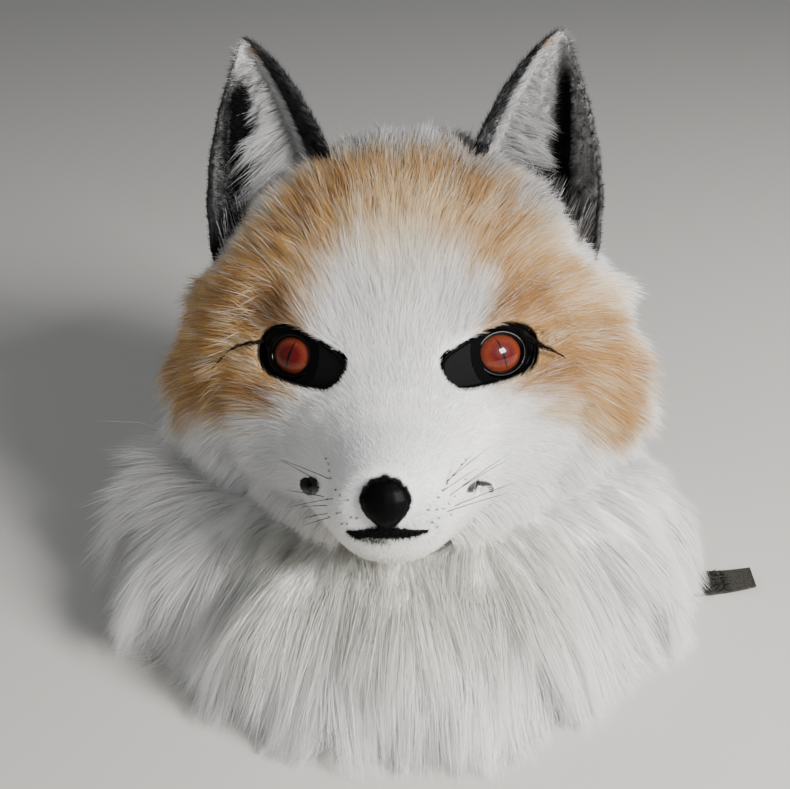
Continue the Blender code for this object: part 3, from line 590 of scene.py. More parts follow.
def rooted(piece, count, rng, keep):
    """Random points on the piece and their normals, where keep gives a weight above 0."""
    mesh = piece.data
    mesh.calc_loop_triangles()
    corners = vertex_values(piece, "co")
    faces = np.zeros(len(mesh.loop_triangles) * 3, np.int32)
    mesh.loop_triangles.foreach_get("vertices", faces)
    faces = faces.reshape(-1, 3)
    normals = vertex_values(piece, "normal")
    triangle = corners[faces]
    cross = np.cross(triangle[:, 1] - triangle[:, 0], triangle[:, 2] - triangle[:, 0])
    area = 0.5 * np.linalg.norm(cross, axis=1)
    middle = triangle.mean(1)
    weight = area * np.maximum(keep(middle, unit(cross)), 0.0)
    chosen = rng.choice(len(faces), count, p=weight / weight.sum())
    first = np.sqrt(rng.random(count))
    second = rng.random(count)
    shares = np.stack((1.0 - first, first * (1.0 - second), first * second), axis=1)
    points = (triangle[chosen] * shares[:, :, None]).sum(1)
    facing = unit((normals[faces[chosen]] * shares[:, :, None]).sum(1))
    return points, facing


def along_surface(directions, normals):
    """Directions with their part along the normals taken out."""
    straight = directions - (directions * normals).sum(1)[:, None] * normals
    return unit(straight)


def paths(points, directions, lengths, sag, levels):
    """Points along each strand: a straight run that gravity bends down by the sag."""
    shares = np.linspace(0.0, 1.0, levels)
    line = points[:, None] + directions[:, None] * (lengths[:, None] * shares)[:, :, None]
    line[:, :, 2] -= np.reshape(sag, (-1, 1)) * lengths[:, None] * shares ** 2
    return line


def clumped(lines, share, pulls, rng):
    """Strands drawn together into pointed clumps."""
    count = len(lines)
    guides = rng.choice(count, max(1, int(count * share)), replace=False)
    tree = KDTree(len(guides))
    for index, guide in enumerate(guides):
        tree.insert(Vector(lines[guide, 0]), index)
    tree.balance()
    nearest = np.array([tree.find(Vector(root))[1] for root in lines[:, 0]])
    leader = lines[guides[nearest]]
    shares = np.linspace(0.0, 1.0, lines.shape[1]) ** 1.4
    amount = rng.uniform(pulls[0], pulls[1], count)
    return lines + (leader - lines) * (amount[:, None] * shares)[:, :, None]


def joined(name, corners, faces, marks, colours):
    """One mesh of many copies of a small shape, each with its own cell of the UV map."""
    count, per = corners.shape[:2]
    step = np.arange(count)
    loops = np.array([corner for face in faces for corner in face])
    starts = np.cumsum([0] + [len(face) for face in faces[:-1]])
    mesh = bpy.data.meshes.new(name)
    mesh.vertices.add(count * per)
    mesh.vertices.foreach_set("co", corners.reshape(-1).astype(np.float32))
    mesh.loops.add(count * len(loops))
    mesh.polygons.add(count * len(faces))
    every = (loops + step[:, None] * per).ravel()
    mesh.loops.foreach_set("vertex_index", every.astype(np.int32))
    first = (starts + step[:, None] * len(loops)).ravel()
    mesh.polygons.foreach_set("loop_start", first.astype(np.int32))
    mesh.update(calc_edges=True)
    mesh.shade_smooth()
    cells = math.ceil(math.sqrt(count))
    cell = np.stack((step // cells, step % cells), axis=1)
    layout = mesh.uv_layers.new(name="OFBake")
    spread = ((cell[:, None] + 0.15 + 0.7 * np.array(marks)) / cells).reshape(-1)
    layout.data.foreach_set("uv", spread.astype(np.float32))
    return tinted(linked(name, mesh), within(colours.reshape(-1, 3)))


def neighbours_first(roots):
    """Order that keeps strands that root near each other near each other in the UV map."""
    count = len(roots)
    cells = math.ceil(math.sqrt(count))
    turn = np.arctan2(roots[:, 0], -roots[:, 1])
    column = np.argsort(np.argsort(turn)) // cells
    return np.lexsort((roots[:, 2], column))


def pile_piece(name, lines, facing, widths, root_colours, tip_colours, rng, roll=0.45):
    """Pile: flat pointed hairs that face out of the coat, as one mesh."""
    order = neighbours_first(lines[:, 0])
    lines, facing, widths = lines[order], facing[order], widths[order]
    root_colours, tip_colours = root_colours[order], tip_colours[order]
    count, levels = lines.shape[:2]
    tangent = unit(lines[:, -1] - lines[:, 0])
    across = unit(np.cross(tangent, facing))
    lean = rng.normal(0.0, roll, (count, 1))
    wide = np.cos(lean) * across + np.sin(lean) * np.cross(across, tangent)
    shares = np.linspace(0.0, 1.0, levels)[:-1]
    taper = 0.5 * (1.0 - 0.8 * shares ** 1.5)
    reach = widths[:, None, None] * taper[None, :, None] * wide[:, None]
    pairs = np.stack((lines[:, :-1] - reach, lines[:, :-1] + reach), axis=2)
    corners = np.concatenate((pairs.reshape(count, -1, 3), lines[:, -1:]), axis=1)
    tip = 2 * (levels - 1)
    faces = [(low, low + 1, low + 3, low + 2) for low in range(0, tip - 2, 2)]
    faces.append((tip - 2, tip - 1, tip))
    place = [(side, share) for share in shares for side in (0.0, 1.0)] + [(0.5, 1.0)]
    marks = [place[corner] for face in faces for corner in face]
    along = np.array([mark[1] for mark in place])[None, :, None]
    colours = root_colours[:, None] * (1.0 - along) + tip_colours[:, None] * along
    return joined(name, corners, faces, marks, colours)


def strand_piece(name, lines, widths, colours, rng, sides=3, taper=0.85):
    """Round pointed strands as one mesh. Widths and colours may be one value for all."""
    count, levels = lines.shape[:2]
    rings = levels - 1
    shares = np.linspace(0.0, 1.0, levels)
    tangent = unit(lines[:, -1] - lines[:, 0])
    helper = np.where(np.abs(tangent[:, 2:]) > 0.9, (1.0, 0.0, 0.0), (0.0, 0.0, 1.0))
    across = unit(np.cross(tangent, helper))
    beside = np.cross(tangent, across)
    turns = rng.uniform(0.0, 2.0 * math.pi, (count, 1)) + np.arange(sides) * 2.0 * math.pi / sides
    turns = turns[:, :, None]
    spokes = np.cos(turns) * across[:, None] + np.sin(turns) * beside[:, None]
    radius = 0.5 * np.reshape(widths, (-1, 1)) * (1.0 - taper * shares[:rings] ** 1.6)
    colours = np.broadcast_to(colours, (count, levels, 3))
    ring = lines[:, :rings, None] + radius[:, :, None, None] * spokes[:, None]
    corners = np.concatenate((ring.reshape(count, -1, 3), lines[:, -1:]), axis=1)
    faces = [tuple(reversed(range(sides)))]
    marks = [(side / sides, 0.0) for side in faces[0]]
    for level in range(rings):
        low = level * sides
        for side in range(sides):
            after = (side + 1) % sides
            left, right = side / sides, (side + 1) / sides
            near, far = shares[level], shares[level + 1]
            marks += [(left, near), (right, near)]
            if level < rings - 1:
                faces.append((low + side, low + after, low + sides + after, low + sides + side))
                marks += [(right, far), (left, far)]
            else:
                faces.append((low + side, low + after, rings * sides))
                marks.append((0.5 * (left + right), far))
    spread = np.concatenate((np.repeat(colours[:, :rings], sides, axis=1), colours[:, -1:]), axis=1)
    return joined(name, corners, faces, marks, spread)


# Materials

def new_material(name):
    """An empty node material, with its nodes and its links."""
    material = bpy.data.materials.new(name)
    material.use_nodes = True
    material.node_tree.nodes.clear()
    return material, material.node_tree.nodes, material.node_tree.links


def added(nodes, kind, **sockets):
    """A new shader node with constant values on its sockets."""
    node = nodes.new("ShaderNode" + kind)
    for key, value in sockets.items():
        node.inputs[key.replace("_", " ")].default_value = value
    return node


def principled(nodes, colour, roughness, **sockets):
    """A Principled BSDF with constant values on its own sockets."""
    shader = added(nodes, "BsdfPrincipled", Base_Color=plain(colour), Roughness=roughness)
    for key, value in sockets.items():
        shader.inputs[key.replace("_", " ").title().replace("Ior", "IOR")].default_value = value
    return shader


def surface_from(shader, nodes, links):
    """Joins the shader to the material's output."""
    out = nodes.new("ShaderNodeOutputMaterial")
    links.new(shader.outputs[0], out.inputs["Surface"])


def bumped(shader, height, distance, nodes, links):
    """Gives the shader a bump from a socket of heights."""
    bump = added(nodes, "Bump", Strength=0.5, Distance=distance)
    links.new(height, bump.inputs["Height"])
    links.new(bump.outputs[0], shader.inputs["Normal"])


def coat_fibre(scale, amount, nodes, links):
    """The stored colour of the pile, through the shared fibre effect."""
    stored = nodes.new("ShaderNodeAttribute")
    stored.attribute_name = "pile_colour"
    return add_fibre(nodes, links, stored.outputs["Color"], None, scale, amount)


def fibre_group():
    """Shared effect: a fine variation in tint, and the height of the fibres."""
    group = bpy.data.node_groups.get("FibreTint")
    if group is not None:
        return group
    group = bpy.data.node_groups.new("FibreTint", "ShaderNodeTree")
    for name, way, kind in (
        ("Colour", "INPUT", "Color"),
        ("Scale", "INPUT", "Float"),
        ("Amount", "INPUT", "Float"),
        ("Colour", "OUTPUT", "Color"),
        ("Height", "OUTPUT", "Float"),
    ):
        group.interface.new_socket(name, in_out=way, socket_type="NodeSocket" + kind)
    nodes, links = group.nodes, group.links
    start = nodes.new("NodeGroupInput")
    end = nodes.new("NodeGroupOutput")
    where = nodes.new("ShaderNodeTexCoord")
    noise = added(nodes, "TexNoise", Detail=3.0)
    links.new(where.outputs["Object"], noise.inputs["Vector"])
    links.new(start.outputs["Scale"], noise.inputs["Scale"])
    spread = nodes.new("ShaderNodeMath")
    spread.operation = "SUBTRACT"
    spread.inputs[1].default_value = 0.5
    links.new(noise.outputs["Fac"], spread.inputs[0])
    scaled = nodes.new("ShaderNodeMath")
    scaled.operation = "MULTIPLY_ADD"
    scaled.inputs[2].default_value = 1.0
    links.new(spread.outputs[0], scaled.inputs[0])
    links.new(start.outputs["Amount"], scaled.inputs[1])
    tint = nodes.new("ShaderNodeVectorMath")
    tint.operation = "SCALE"
    links.new(start.outputs["Colour"], tint.inputs[0])
    links.new(scaled.outputs[0], tint.inputs["Scale"])
    links.new(tint.outputs[0], end.inputs["Colour"])
    links.new(noise.outputs["Fac"], end.inputs["Height"])
    return group


def add_fibre(nodes, links, source, colour, scale, amount):
    """Places the shared fibre effect and feeds it a colour socket or a constant."""
    node = added(nodes, "Group")
    node.node_tree = fibre_group()
    node.inputs["Scale"].default_value = scale
    node.inputs["Amount"].default_value = amount
    if source is None:
        node.inputs["Colour"].default_value = plain(colour)
    else:
        links.new(source, node.inputs["Colour"])
    return node


def pile_material(name, roughness=0.7, glow=0.42, shine=0.2):
    """Fur: the stored colour, lit from the front and through the hair."""
    material, nodes, links = new_material(name)
    fibre = coat_fibre(120.0, 0.10, nodes, links)
    shader = principled(nodes, (0.8, 0.8, 0.8), roughness, specular_ior_level=shine)
    through = nodes.new("ShaderNodeBsdfTranslucent")
    both = nodes.new("ShaderNodeMixShader")
    both.inputs[0].default_value = glow
    links.new(fibre.outputs["Colour"], shader.inputs["Base Color"])
    links.new(fibre.outputs["Colour"], through.inputs["Color"])
    links.new(shader.outputs[0], both.inputs[1])
    links.new(through.outputs[0], both.inputs[2])
    surface_from(both, nodes, links)
    return material


def skin_material(name):
    """Dense pile under the strands: the stored colour with a fibre bump."""
    material, nodes, links = new_material(name)
    fibre = coat_fibre(900.0, 0.20, nodes, links)
    shader = principled(nodes, (0.8, 0.8, 0.8), 0.9, specular_ior_level=0.1)
    links.new(fibre.outputs["Colour"], shader.inputs["Base Color"])
    bumped(shader, fibre.outputs["Height"], 0.0006, nodes, links)
    surface_from(shader, nodes, links)
    return material


def gloss_material(name, colour, roughness, bump_scale=0.0, bump_depth=0.0, **sockets):
    """Smooth or pebbled moulded finish."""
    material, nodes, links = new_material(name)
    shader = principled(nodes, colour, roughness, **sockets)
    mottle = add_fibre(nodes, links, None, colour, 140.0, 0.25)
    links.new(mottle.outputs["Colour"], shader.inputs["Base Color"])
    surface_from(shader, nodes, links)
    if bump_depth:
        where = nodes.new("ShaderNodeTexCoord")
        pebbles = added(nodes, "TexVoronoi", Scale=bump_scale)
        links.new(where.outputs["Object"], pebbles.inputs["Vector"])
        bumped(shader, pebbles.outputs["Distance"], bump_depth, nodes, links)
    return material


def material_once(name, maker, **settings):
    """The named material, made the first time it is asked for."""
    return bpy.data.materials.get(name) or maker(name, **settings)


def hair_material():
    """Strands of the coat."""
    return material_once("Pile", pile_material)


def dense_material():
    """Dense pile under the strands."""
    return material_once("Dense pile", skin_material)


def dark_hair_material():
    """Black hair."""
    return material_once("Dark hair", pile_material, roughness=0.5, glow=0.05, shine=0.15)


# Settings

def colour_property(name, description, colour):
    """A colour that the user can change."""
    return bpy.props.FloatVectorProperty(
        name=name, description=description, subtype="COLOR", size=3, min=0.0, max=1.0,
        default=tuple(float(part) for part in colour),
    )


def length_property(name, description, default, low, high):
    """A length that the user can change."""
    return bpy.props.FloatProperty(
        name=name, description=description, unit="LENGTH", subtype="DISTANCE",
        default=default, min=low, max=high,
    )


def count_property(name, description, default):
    """A number of hairs that the user can change."""
    return bpy.props.IntProperty(name=name, description=description, default=default, min=100)


def power_property(name, description, default):
    """A light's power that the user can change."""
    return bpy.props.FloatProperty(
        name=name, description=description, unit="POWER", default=default, min=0.0,
    )


class CoatSettings(bpy.types.PropertyGroup):
    """Colours and sizes of the fur."""
    white: colour_property("White", "White of the face, cheeks and ruff", srgb(251, 250, 248))
    pale: colour_property("Pale", "Greyer white between the white hairs", srgb(238, 238, 238))
    cream: colour_property("Cream", "Pale hair between tan and white", srgb(236, 217, 176))
    tan: colour_property("Tan", "Main colour of the patches", srgb(197, 147, 66))
    ochre: colour_property("Ochre", "Dark streaks in the patches", srgb(158, 106, 30))
    smoke: colour_property("Smoke", "Grey hair by the ears and crown", srgb(128, 124, 122))
    coal: colour_property("Coal", "Black hair in and round the ears", srgb(20, 20, 21))
    ash: colour_property("Ash", "Dark grey hair on the ears", srgb(84, 84, 86))
    face_width: length_property(
        "Face hair width", "Width of the short hair at its root", 0.00036, 0.0001, 0.002,
    )
    hair_width: length_property(
        "Hair width", "Width of the long hair at its root", 0.00038, 0.0001, 0.002,
    )
    ruff_length: length_property(
        "Ruff length", "Length of the longest ruff hair", 0.062, 0.01, 0.12,
    )
    face_count: count_property("Face hairs", "Hairs on the short pile", 165000)
    crown_count: count_property("Crown hairs", "Hairs on the crown and temples", 38000)
    cheek_count: count_property("Cheek hairs", "Hairs on the cheeks", 40000)
    nape_count: count_property("Nape hairs", "Hairs on the back of the head", 18500)
    ruff_count: count_property("Ruff hairs", "Hairs on the front of the ruff", 36000)
    mane_count: count_property("Rear ruff hairs", "Hairs on the back of the ruff", 11200)
    ear_count: count_property("Ear hairs", "Short hairs on each ear", 26000)
    tuft_count: count_property("Tuft hairs", "Long hairs inside each ear", 3600)


class EyeSettings(bpy.types.PropertyGroup):
    """Colours of the eyes and nose."""
    iris_rim: colour_property("Iris rim", "Outer part of the iris", srgb(106, 43, 24))
    iris_heart: colour_property("Iris heart", "Inner part of the iris", srgb(78, 6, 7))
    pupil: colour_property("Pupil", "Slit pupil", srgb(12, 2, 2))
    lid: colour_property("Lid", "Glossy eye surround", srgb(2, 2, 3))
    nose: colour_property("Nose", "Moulded nose", srgb(5, 5, 6))


class StageSettings(bpy.types.PropertyGroup):
    """Camera, light and floor."""
    floor: colour_property("Floor", "Plain floor", srgb(205, 203, 198))
    key_power: power_property("Key light", "Power of the main soft light", 72.0)
    fill_power: power_property("Fill light", "Power of the light on the other side", 3.5)


def coat_colours():
    """The coat's colours as arrays."""
    coat = bpy.context.scene.fursuit_coat
    names = ("white", "pale", "cream", "tan", "ochre", "smoke", "coal", "ash")
    return {name: np.array(getattr(coat, name)) for name in names}


# Face and hood

def pile_length(points):
    """Length of the head's pile at each row-frame point."""
    reach = np.linalg.norm(to_head(points) - NOSE_TIP, axis=1)
    table = np.array(PILE_LENGTHS)
    return np.interp(reach, table[:, 0], table[:, 1])


def coat_flow(points, normals):
    """Direction the head's pile lies in: away from the nose and a little down."""
    away = unit(points - to_row(NOSE_TIP))
    head = to_head(points)
    down = np.zeros_like(points)
    side = ease(np.abs(head[:, 0]), 0.05, 0.12) * ease(head[:, 2], 0.09, 0.0)
    down[:, 2] = -(0.55 + 0.45 * ease(head[:, 2], 0.04, -0.03)) * side
    outward = np.zeros_like(points)
    outward[:, 0] = np.sign(head[:, 0]) * 0.35 * ease(np.abs(head[:, 0]), 0.02, 0.09)
    return along_surface(away + down + outward, normals)


def leaves_core(points, normals):
    """1 where the surface looks away from the middle of the skull, else 0."""
    head = to_head(points) - SKULL_CORE
    head[:, 1] *= 0.35
    return ((unit(head) @ HEAD_AXES * normals).sum(1) > 0.1).astype(float)


def bare_near(points):
    """0 in the cheek vents and on the lip, 1 elsewhere, for row-frame points."""
    head = to_head(points)
    kept = np.ones(len(head))
    for row in VENTS:
        arch = row[7]
        place = vent_place(head, row)
        gap = np.linalg.norm(place, axis=1)
        if arch:
            kept *= (gap > 1.10) | (gap < arch - 0.08) | (place[:, 2] < 0.0)
        else:
            kept *= gap > 1.08
    half, low, high = LIP_BARE
    lip = (np.abs(head[:, 0]) < half) & (head[:, 2] > low) & (head[:, 2] < high)
    return kept * ~(lip & (head[:, 1] < LIP_BEHIND))


def beside(node, points):
    """How far each point lies from a CAD node; far away if none is named."""
    if node is None:
        return np.full(len(points), 1.0)
    return gaps_to(tree_of(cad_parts[node]), points)


def head_strands(name, skin, count, seed, levels, keep, style):
    """Hairs over a part of the head. Style holds rise, sag, jitter, clumps, width."""
    rng = np.random.default_rng(seed)
    colours = coat_colours()
    points, normals = rooted(skin, count, rng, keep)
    lengths = pile_length(points) * rng.uniform(0.72, 1.15, count)
    lengths *= 0.35 + 0.65 * ease(eye_gap_tree()(points), 0.0, 0.009)
    head = to_head(points)
    head[:, 0] = np.abs(head[:, 0])
    foot = np.linalg.norm(head - EAR_FOOT, axis=1)
    lengths *= 0.62 + 0.38 * ease(foot, 0.012, 0.040)
    lengths *= 0.22 + 0.78 * ease(beside(style.get("short_near"), points), 0.0006, 0.0045)
    flow = coat_flow(points, normals)
    wander = (ripple(points, 0.034, seed + 1) - 0.5)[:, None] * np.cross(normals, flow)
    rise = rng.uniform(*style["rise"], count)[:, None]
    directions = unit(
        flow + normals * rise + 0.45 * wander + rng.normal(0.0, style["jitter"], (count, 3))
    )
    sag = style["sag"] * rng.uniform(0.6, 1.3, count)
    lines = paths(points - normals * 0.0006, directions, lengths, sag, levels)
    if style["clumps"]:
        lines = clumped(lines, style["clumps"], (0.15, 0.70), rng)
    lines[:, :, 2] = np.maximum(lines[:, :, 2], FLOOR_CLEAR)
    widths = style["width"] * rng.uniform(0.75, 1.2, count)
    tip = coat_colour(points, rng, colours)
    root = mix(tip, colours["white"], 0.20) * rng.uniform(0.86, 0.94, (count, 1))
    if style.get("short_near"):
        edge = beside(style["short_near"], points) + rng.normal(0.0, 0.0004, count)
        dark = (0.97 * ease(edge, 0.0017, 0.0009))[:, None]
        root, tip = root * (1.0 - dark), tip * (1.0 - dark)
    return pile_piece(name, lines, normals, widths, root, tip, rng)


def head_skin(piece, black_near=None):
    """Stores the coat's colour on the dense pile, black round the eyes and the nose."""
    rng = np.random.default_rng(3)
    colours = coat_colours()
    points = vertex_values(piece, "co")
    shade = mix(coat_colour(points, rng, colours), colours["white"], 0.10) * 0.94
    shade *= 1.0 - 0.92 * ease(eye_gap_tree()(points), 0.0024, 0.0008)[:, None]
    shade *= 1.0 - 0.97 * ease(beside(black_near, points), 0.0017, 0.0010)[:, None]
    return tinted(piece, within(shade))


class FURSUIT_OT_face(bpy.types.Operator):
    """Adds the short pile of the face"""
    bl_idname = "fursuit.face"
    bl_label = "Face pile"

    def execute(self, context):
        skin = soften(copy_of("face_fur", "face_skin"), *SOFT_FACE)
        for side in SIDES.values():
            pull(skin, (side * 0.018, -0.166, -0.020), 0.022, (side * 0.0022, -0.0020, 0.0))
            pull(skin, (side * 0.050, -0.085, 0.060), 0.026, (side * 0.0010, -0.0035, 0.0025))
        head_skin(skin, "nose")
        seated(skin, "face_pile", dense_material(), "face_fur")
        eyes = eye_gap_tree()

        def keep(points, normals):
            return leaves_core(points, normals) * (eyes(points) > EYE_BARE) * bare_near(points)

        coat = context.scene.fursuit_coat
        style = {"rise": (0.14, 0.50), "sag": 0.02, "jitter": 0.10, "clumps": 0.0,
                 "width": coat.face_width, "short_near": "nose"}
        strands = head_strands("face_strands", skin, coat.face_count, 11, 2, keep, style)
        seated(strands, "face_pile", hair_material())
        return {"FINISHED"}


class FURSUIT_OT_vents(bpy.types.Operator):
    """Adds the short pile that lines the cheek vents, painted dark as shade in the hollows"""
    bl_idname = "fursuit.vents"
    bl_label = "Cheek vents"

    def execute(self, context):
        skin = bpy.data.objects["face_skin"]
        for order, row in enumerate(VENTS):
            dark, arch = row[6:]
            rng = np.random.default_rng(81 + order)

            def inside(points):
                place = vent_place(to_head(points), row)
                return place, np.linalg.norm(place, axis=1)

            def keep(points, normals):
                return leaves_core(points, normals) * (inside(points)[1] < 1.7)

            points, normals = rooted(skin, VENT_TRIES, rng, keep)
            place, gap = inside(points)
            chosen = (gap < 1.0) & (gap > arch)
            if arch:
                chosen &= place[:, 2] > 0.0
            points, normals, place = points[chosen], normals[chosen], place[chosen]
            count = len(points)
            jitter = rng.normal(0.0, 0.2, (count, 3))
            directions = unit(coat_flow(points, normals) + 0.5 * normals + jitter)
            lengths = rng.uniform(0.0009, 0.0017, count)
            lines = paths(points + 0.0005 * normals, directions, lengths, 0.0, 2)
            # Painted shade: the lining is dark, lighter towards the bottom of the vent, and greyer
            # where the vent is painted less dark
            low = 0.35 if arch else 0.5
            shade = mix(srgb(*VENT_SHADE), srgb(*VENT_LIT), low * ease(place[:, 2:], 0.2, -1.0))
            shade = mix(shade, srgb(*VENT_HALF_SHADE), 1.0 - dark)
            widths = np.full(count, VENT_HAIR)
            lining = pile_piece(f"vent_{order + 1}", lines, normals, widths, shade, shade, rng)
            seated(lining, "face_pile", dark_hair_material())
        return {"FINISHED"}


class FURSUIT_OT_hood(bpy.types.Operator):
    """Adds the long pile of the crown, cheeks and nape"""
    bl_idname = "fursuit.hood"
    bl_label = "Hood pile"

    def execute(self, context):
        skin = soften(copy_of("hood_fur", "hood_skin"), *SOFT_HOOD)
        head_skin(skin)
        seated(skin, "hood_pile", dense_material(), "hood_fur")

        def region(front, high):
            def keep(points, normals):
                head = to_head(points)
                chosen = (head[:, 1] <= HOOD_SPLIT[0]) == front
                if front:
                    chosen &= (head[:, 2] > HOOD_SPLIT[1]) == high
                return leaves_core(points, normals) * chosen * (eyes(points) > EYE_BARE)
            return keep

        eyes = eye_gap_tree()
        coat = context.scene.fursuit_coat
        style = {"rise": (0.16, 0.46), "sag": 0.22, "jitter": 0.11, "clumps": 0.05,
                 "width": 0.86 * coat.hair_width}
        for name, count, seed, keep in (
            ("hood_strands_crown", coat.crown_count, 21, region(True, True)),
            ("hood_strands_cheeks", coat.cheek_count, 23, region(True, False)),
            ("hood_strands_rear", coat.nape_count, 25, region(False, True)),
        ):
            strands = head_strands(name, skin, count, seed, 3, keep, style)
            seated(strands, "hood_pile", hair_material())
        return {"FINISHED"}


# Ruff

class FURSUIT_OT_ruff(bpy.types.Operator):
    """Adds the long pile of the neck ruff"""
    bl_idname = "fursuit.ruff"
    bl_label = "Neck ruff"

    def execute(self, context):
        skin = soften(copy_of("neck_ruff", "ruff_skin"), *SOFT_RUFF[0])
        apply(skin, "DISPLACE", strength=-RUFF_SUNK, mid_level=0.0)
        soften(skin, *SOFT_RUFF[1])
        for side in SIDES.values():
            pull(skin, (side * 0.0350, -0.0930, -0.0660), 0.020, (0.0, -0.0030, 0.0050))
        colours = coat_colours()
        tinted(skin, np.tile(colours["white"] * 0.93, (len(skin.data.vertices), 1)))
        seated(skin, "ruff_pile", dense_material(), "neck_ruff")
        coat = context.scene.fursuit_coat
        for name, count, seed, front in (
            ("ruff_strands_front", coat.ruff_count, 31, True),
            ("ruff_strands_rear", coat.mane_count, 35, False),
        ):
            strands = ruff_strands(name, skin, count, seed, front, coat, colours)
            seated(strands, "ruff_pile", hair_material())
        fringe = jaw_fringe(tree_of(skin), coat)
        seated(fringe, "face_pile", hair_material())
        return {"FINISHED"}


def jaw_fringe(ruff, coat):
    """Longer hair at the lower edge of the face, which falls over the ruff."""
    face = bpy.data.objects["face_skin"]

    def keep(points, normals):
        gaps = gaps_to(ruff, points)
        head = to_head(points)
        side = np.abs(head[:, 0]) > 0.013
        high = head_way(normals)[:, 2] > -0.75
        return (gaps < 0.026) * side * high * leaves_core(points, normals)

    rng = np.random.default_rng(39)
    count = JAW_HAIRS
    points, normals = rooted(face, count, rng, keep)
    flow = coat_flow(points, normals) + np.array((0.0, 0.0, -0.25))
    out = unit(points * (1.0, 1.0, 0.0))
    rise = rng.uniform(0.15, 0.75, (count, 1))
    jitter = rng.normal(0.0, 0.12, (count, 3))
    directions = unit(along_surface(flow, normals) + 0.35 * out + normals * rise + jitter)
    far = ease(np.abs(to_head(points)[:, 0]), 0.014, 0.045)
    lengths = mix(0.0045, 0.0185, far) * rng.uniform(0.6, 1.15, count)
    lines = paths(points, directions, lengths, rng.uniform(0.2, 0.5, count), 3)
    lines = clumped(lines, 0.05, (0.1, 0.6), rng)
    tip = coat_colour(points, rng, coat_colours())
    widths = coat.hair_width * rng.uniform(0.7, 1.05, count)
    return pile_piece("jaw_fringe", lines, normals, widths, tip * 0.93, tip, rng)


def ruff_strands(name, skin, count, seed, front, coat, colours):
    """Hairs over the front or the back of the ruff."""
    rng = np.random.default_rng(seed)

    def keep(points, normals):
        radial = unit(points * (1.0, 1.0, 0.0))
        outer = ((radial + (0.0, 0.0, 0.8)) * normals).sum(1) > 0.25
        half = (points[:, 1] < RUFF_SPLIT) == front
        return (outer & half & (points[:, 2] > 0.003)).astype(float)

    points, normals = rooted(skin, count, rng, keep)
    radial = unit(points * (1.0, 1.0, 0.0))
    around = np.stack((-radial[:, 1], radial[:, 0], np.zeros(count)), axis=1)
    signed = np.degrees(np.arctan2(points[:, 0], -points[:, 1]))
    turn = np.abs(signed)
    bib = ease(turn, 42.0, 22.0)
    wave = ripple(points, 0.050, seed + 1) - 0.5
    height = points[:, 2]
    fan = ease(signed, -46.0, -68.0) * ease(signed, -135.0, -110.0)
    fall = mix(-0.30 - 0.45 * bib, mix(-0.55, 0.50, ease(height, 0.015, 0.080)), fan)
    flow = radial + fall[:, None] * np.array((0.0, 0.0, 1.0))
    flow = along_surface(flow, normals)
    lobe = ease(height, 0.040, 0.070) * ease(turn, 60.0, 85.0)
    rise = rng.uniform(0.06, 0.34, count) * mix(1.0, 0.55, ease(height, 0.045, 0.075) * (1.0 - bib))
    rise = rise * mix(1.0, 0.5, lobe * (1.0 - fan))
    directions = unit(
        flow + normals * rise[:, None] + around * (0.60 * wave)[:, None]
        + rng.normal(0.0, 0.09, (count, 3))
    )
    table = np.array(RUFF_REACH, float)
    reach = np.interp(signed, table[:, 0], table[:, 1]) * MM * rng.uniform(0.93, 1.03, count)
    reach = np.minimum(reach, np.where(points[:, 1] < -0.1, *RUFF_CAPS))
    lengths = coat.ruff_length * mix(0.70, 1.0, ease(height, 0.0, 0.05))
    lengths = lengths * mix(1.0, 0.45, ease(height, 0.072, 0.10)) * rng.uniform(0.75, 1.1, count)
    lengths = lengths * mix(1.0, np.where(signed < 0.0, 1.05, 0.85), lobe)
    lengths = lengths * mix(1.0, 1.25, fan) * np.where(rng.random(count) < 0.07, 1.3, 1.0)
    outward = np.maximum((directions * radial).sum(1), 0.55)
    room = (reach - np.linalg.norm(points[:, :2], axis=1)) / outward
    lengths = np.minimum(lengths, np.maximum(room, 0.010))
    sag = rng.uniform(0.25, 0.6, count) * mix(1.0, 0.35, fan)
    lines = paths(points - normals * 0.001, directions, lengths, sag, 4)
    lines = clumped(lines, 0.035, (0.25, 0.85), rng)
    lines = clumped(lines, 0.005, (0.05, 0.72), rng)
    ground = rng.uniform(FLOOR_CLEAR, 0.0085, count)[:, None] * np.linspace(1.0, 0.4, 4)
    lines[:, :, 2] = np.maximum(lines[:, :, 2], ground)
    widths = 1.15 * coat.hair_width * rng.uniform(0.75, 1.15, count)
    # Painted shadow under the chin: the ruff's hair there is darker and a little olive, with a
    # touch of cream
    chin_shadow = ease(height, 0.066, 0.090) * ease(turn, 55.0, 25.0)
    tip = mix(colours["white"], colours["pale"], rng.random((count, 1)) * 0.8)
    tip = blend(tip, colours["cream"], 0.06 * chin_shadow)
    tip = tip * mix(1.0, np.array((0.80, 0.81, 0.77)), chin_shadow[:, None])
    root = tip * rng.uniform(0.88, 0.96, (count, 1))
    return pile_piece(name, lines, normals, widths, root, tip, rng)


# Ears

def ear_grid():
    """Fine grid over the ear in the head frame, with its level and share across."""
    rows = np.array(EAR)
    levels = np.linspace(0.0, len(EAR) - 1.0, 61)
    shares = np.linspace(0.0, 1.0, 25)
    spread = [np.interp(levels, np.arange(len(EAR)), rows[:, key]) for key in range(6)]
    inner = np.stack((spread[0], spread[1]), axis=1)
    outer = np.stack((spread[2], spread[3]), axis=1)
    flat = inner[:, None] + (outer - inner)[:, None] * shares[None, :, None]
    level = np.repeat(levels[:, None], len(shares), axis=1)
    share = np.repeat(shares[None], len(levels), axis=0)
    return flat.reshape(-1, 2), level.ravel(), share.ravel()


def ear_places(points):
    """Level up the ear and share across it, from inner to outer edge, for row-frame points."""
    flat, level, share = ear_grid()
    tree = KDTree(len(flat))
    for index, (x, z) in enumerate(flat):
        tree.insert((x, z, 0.0), index)
    tree.balance()
    head = to_head(points)
    found = [tree.find((abs(x), z, 0.0))[1] for x, z in head[:, (0, 2)]]
    return level[found], share[found]


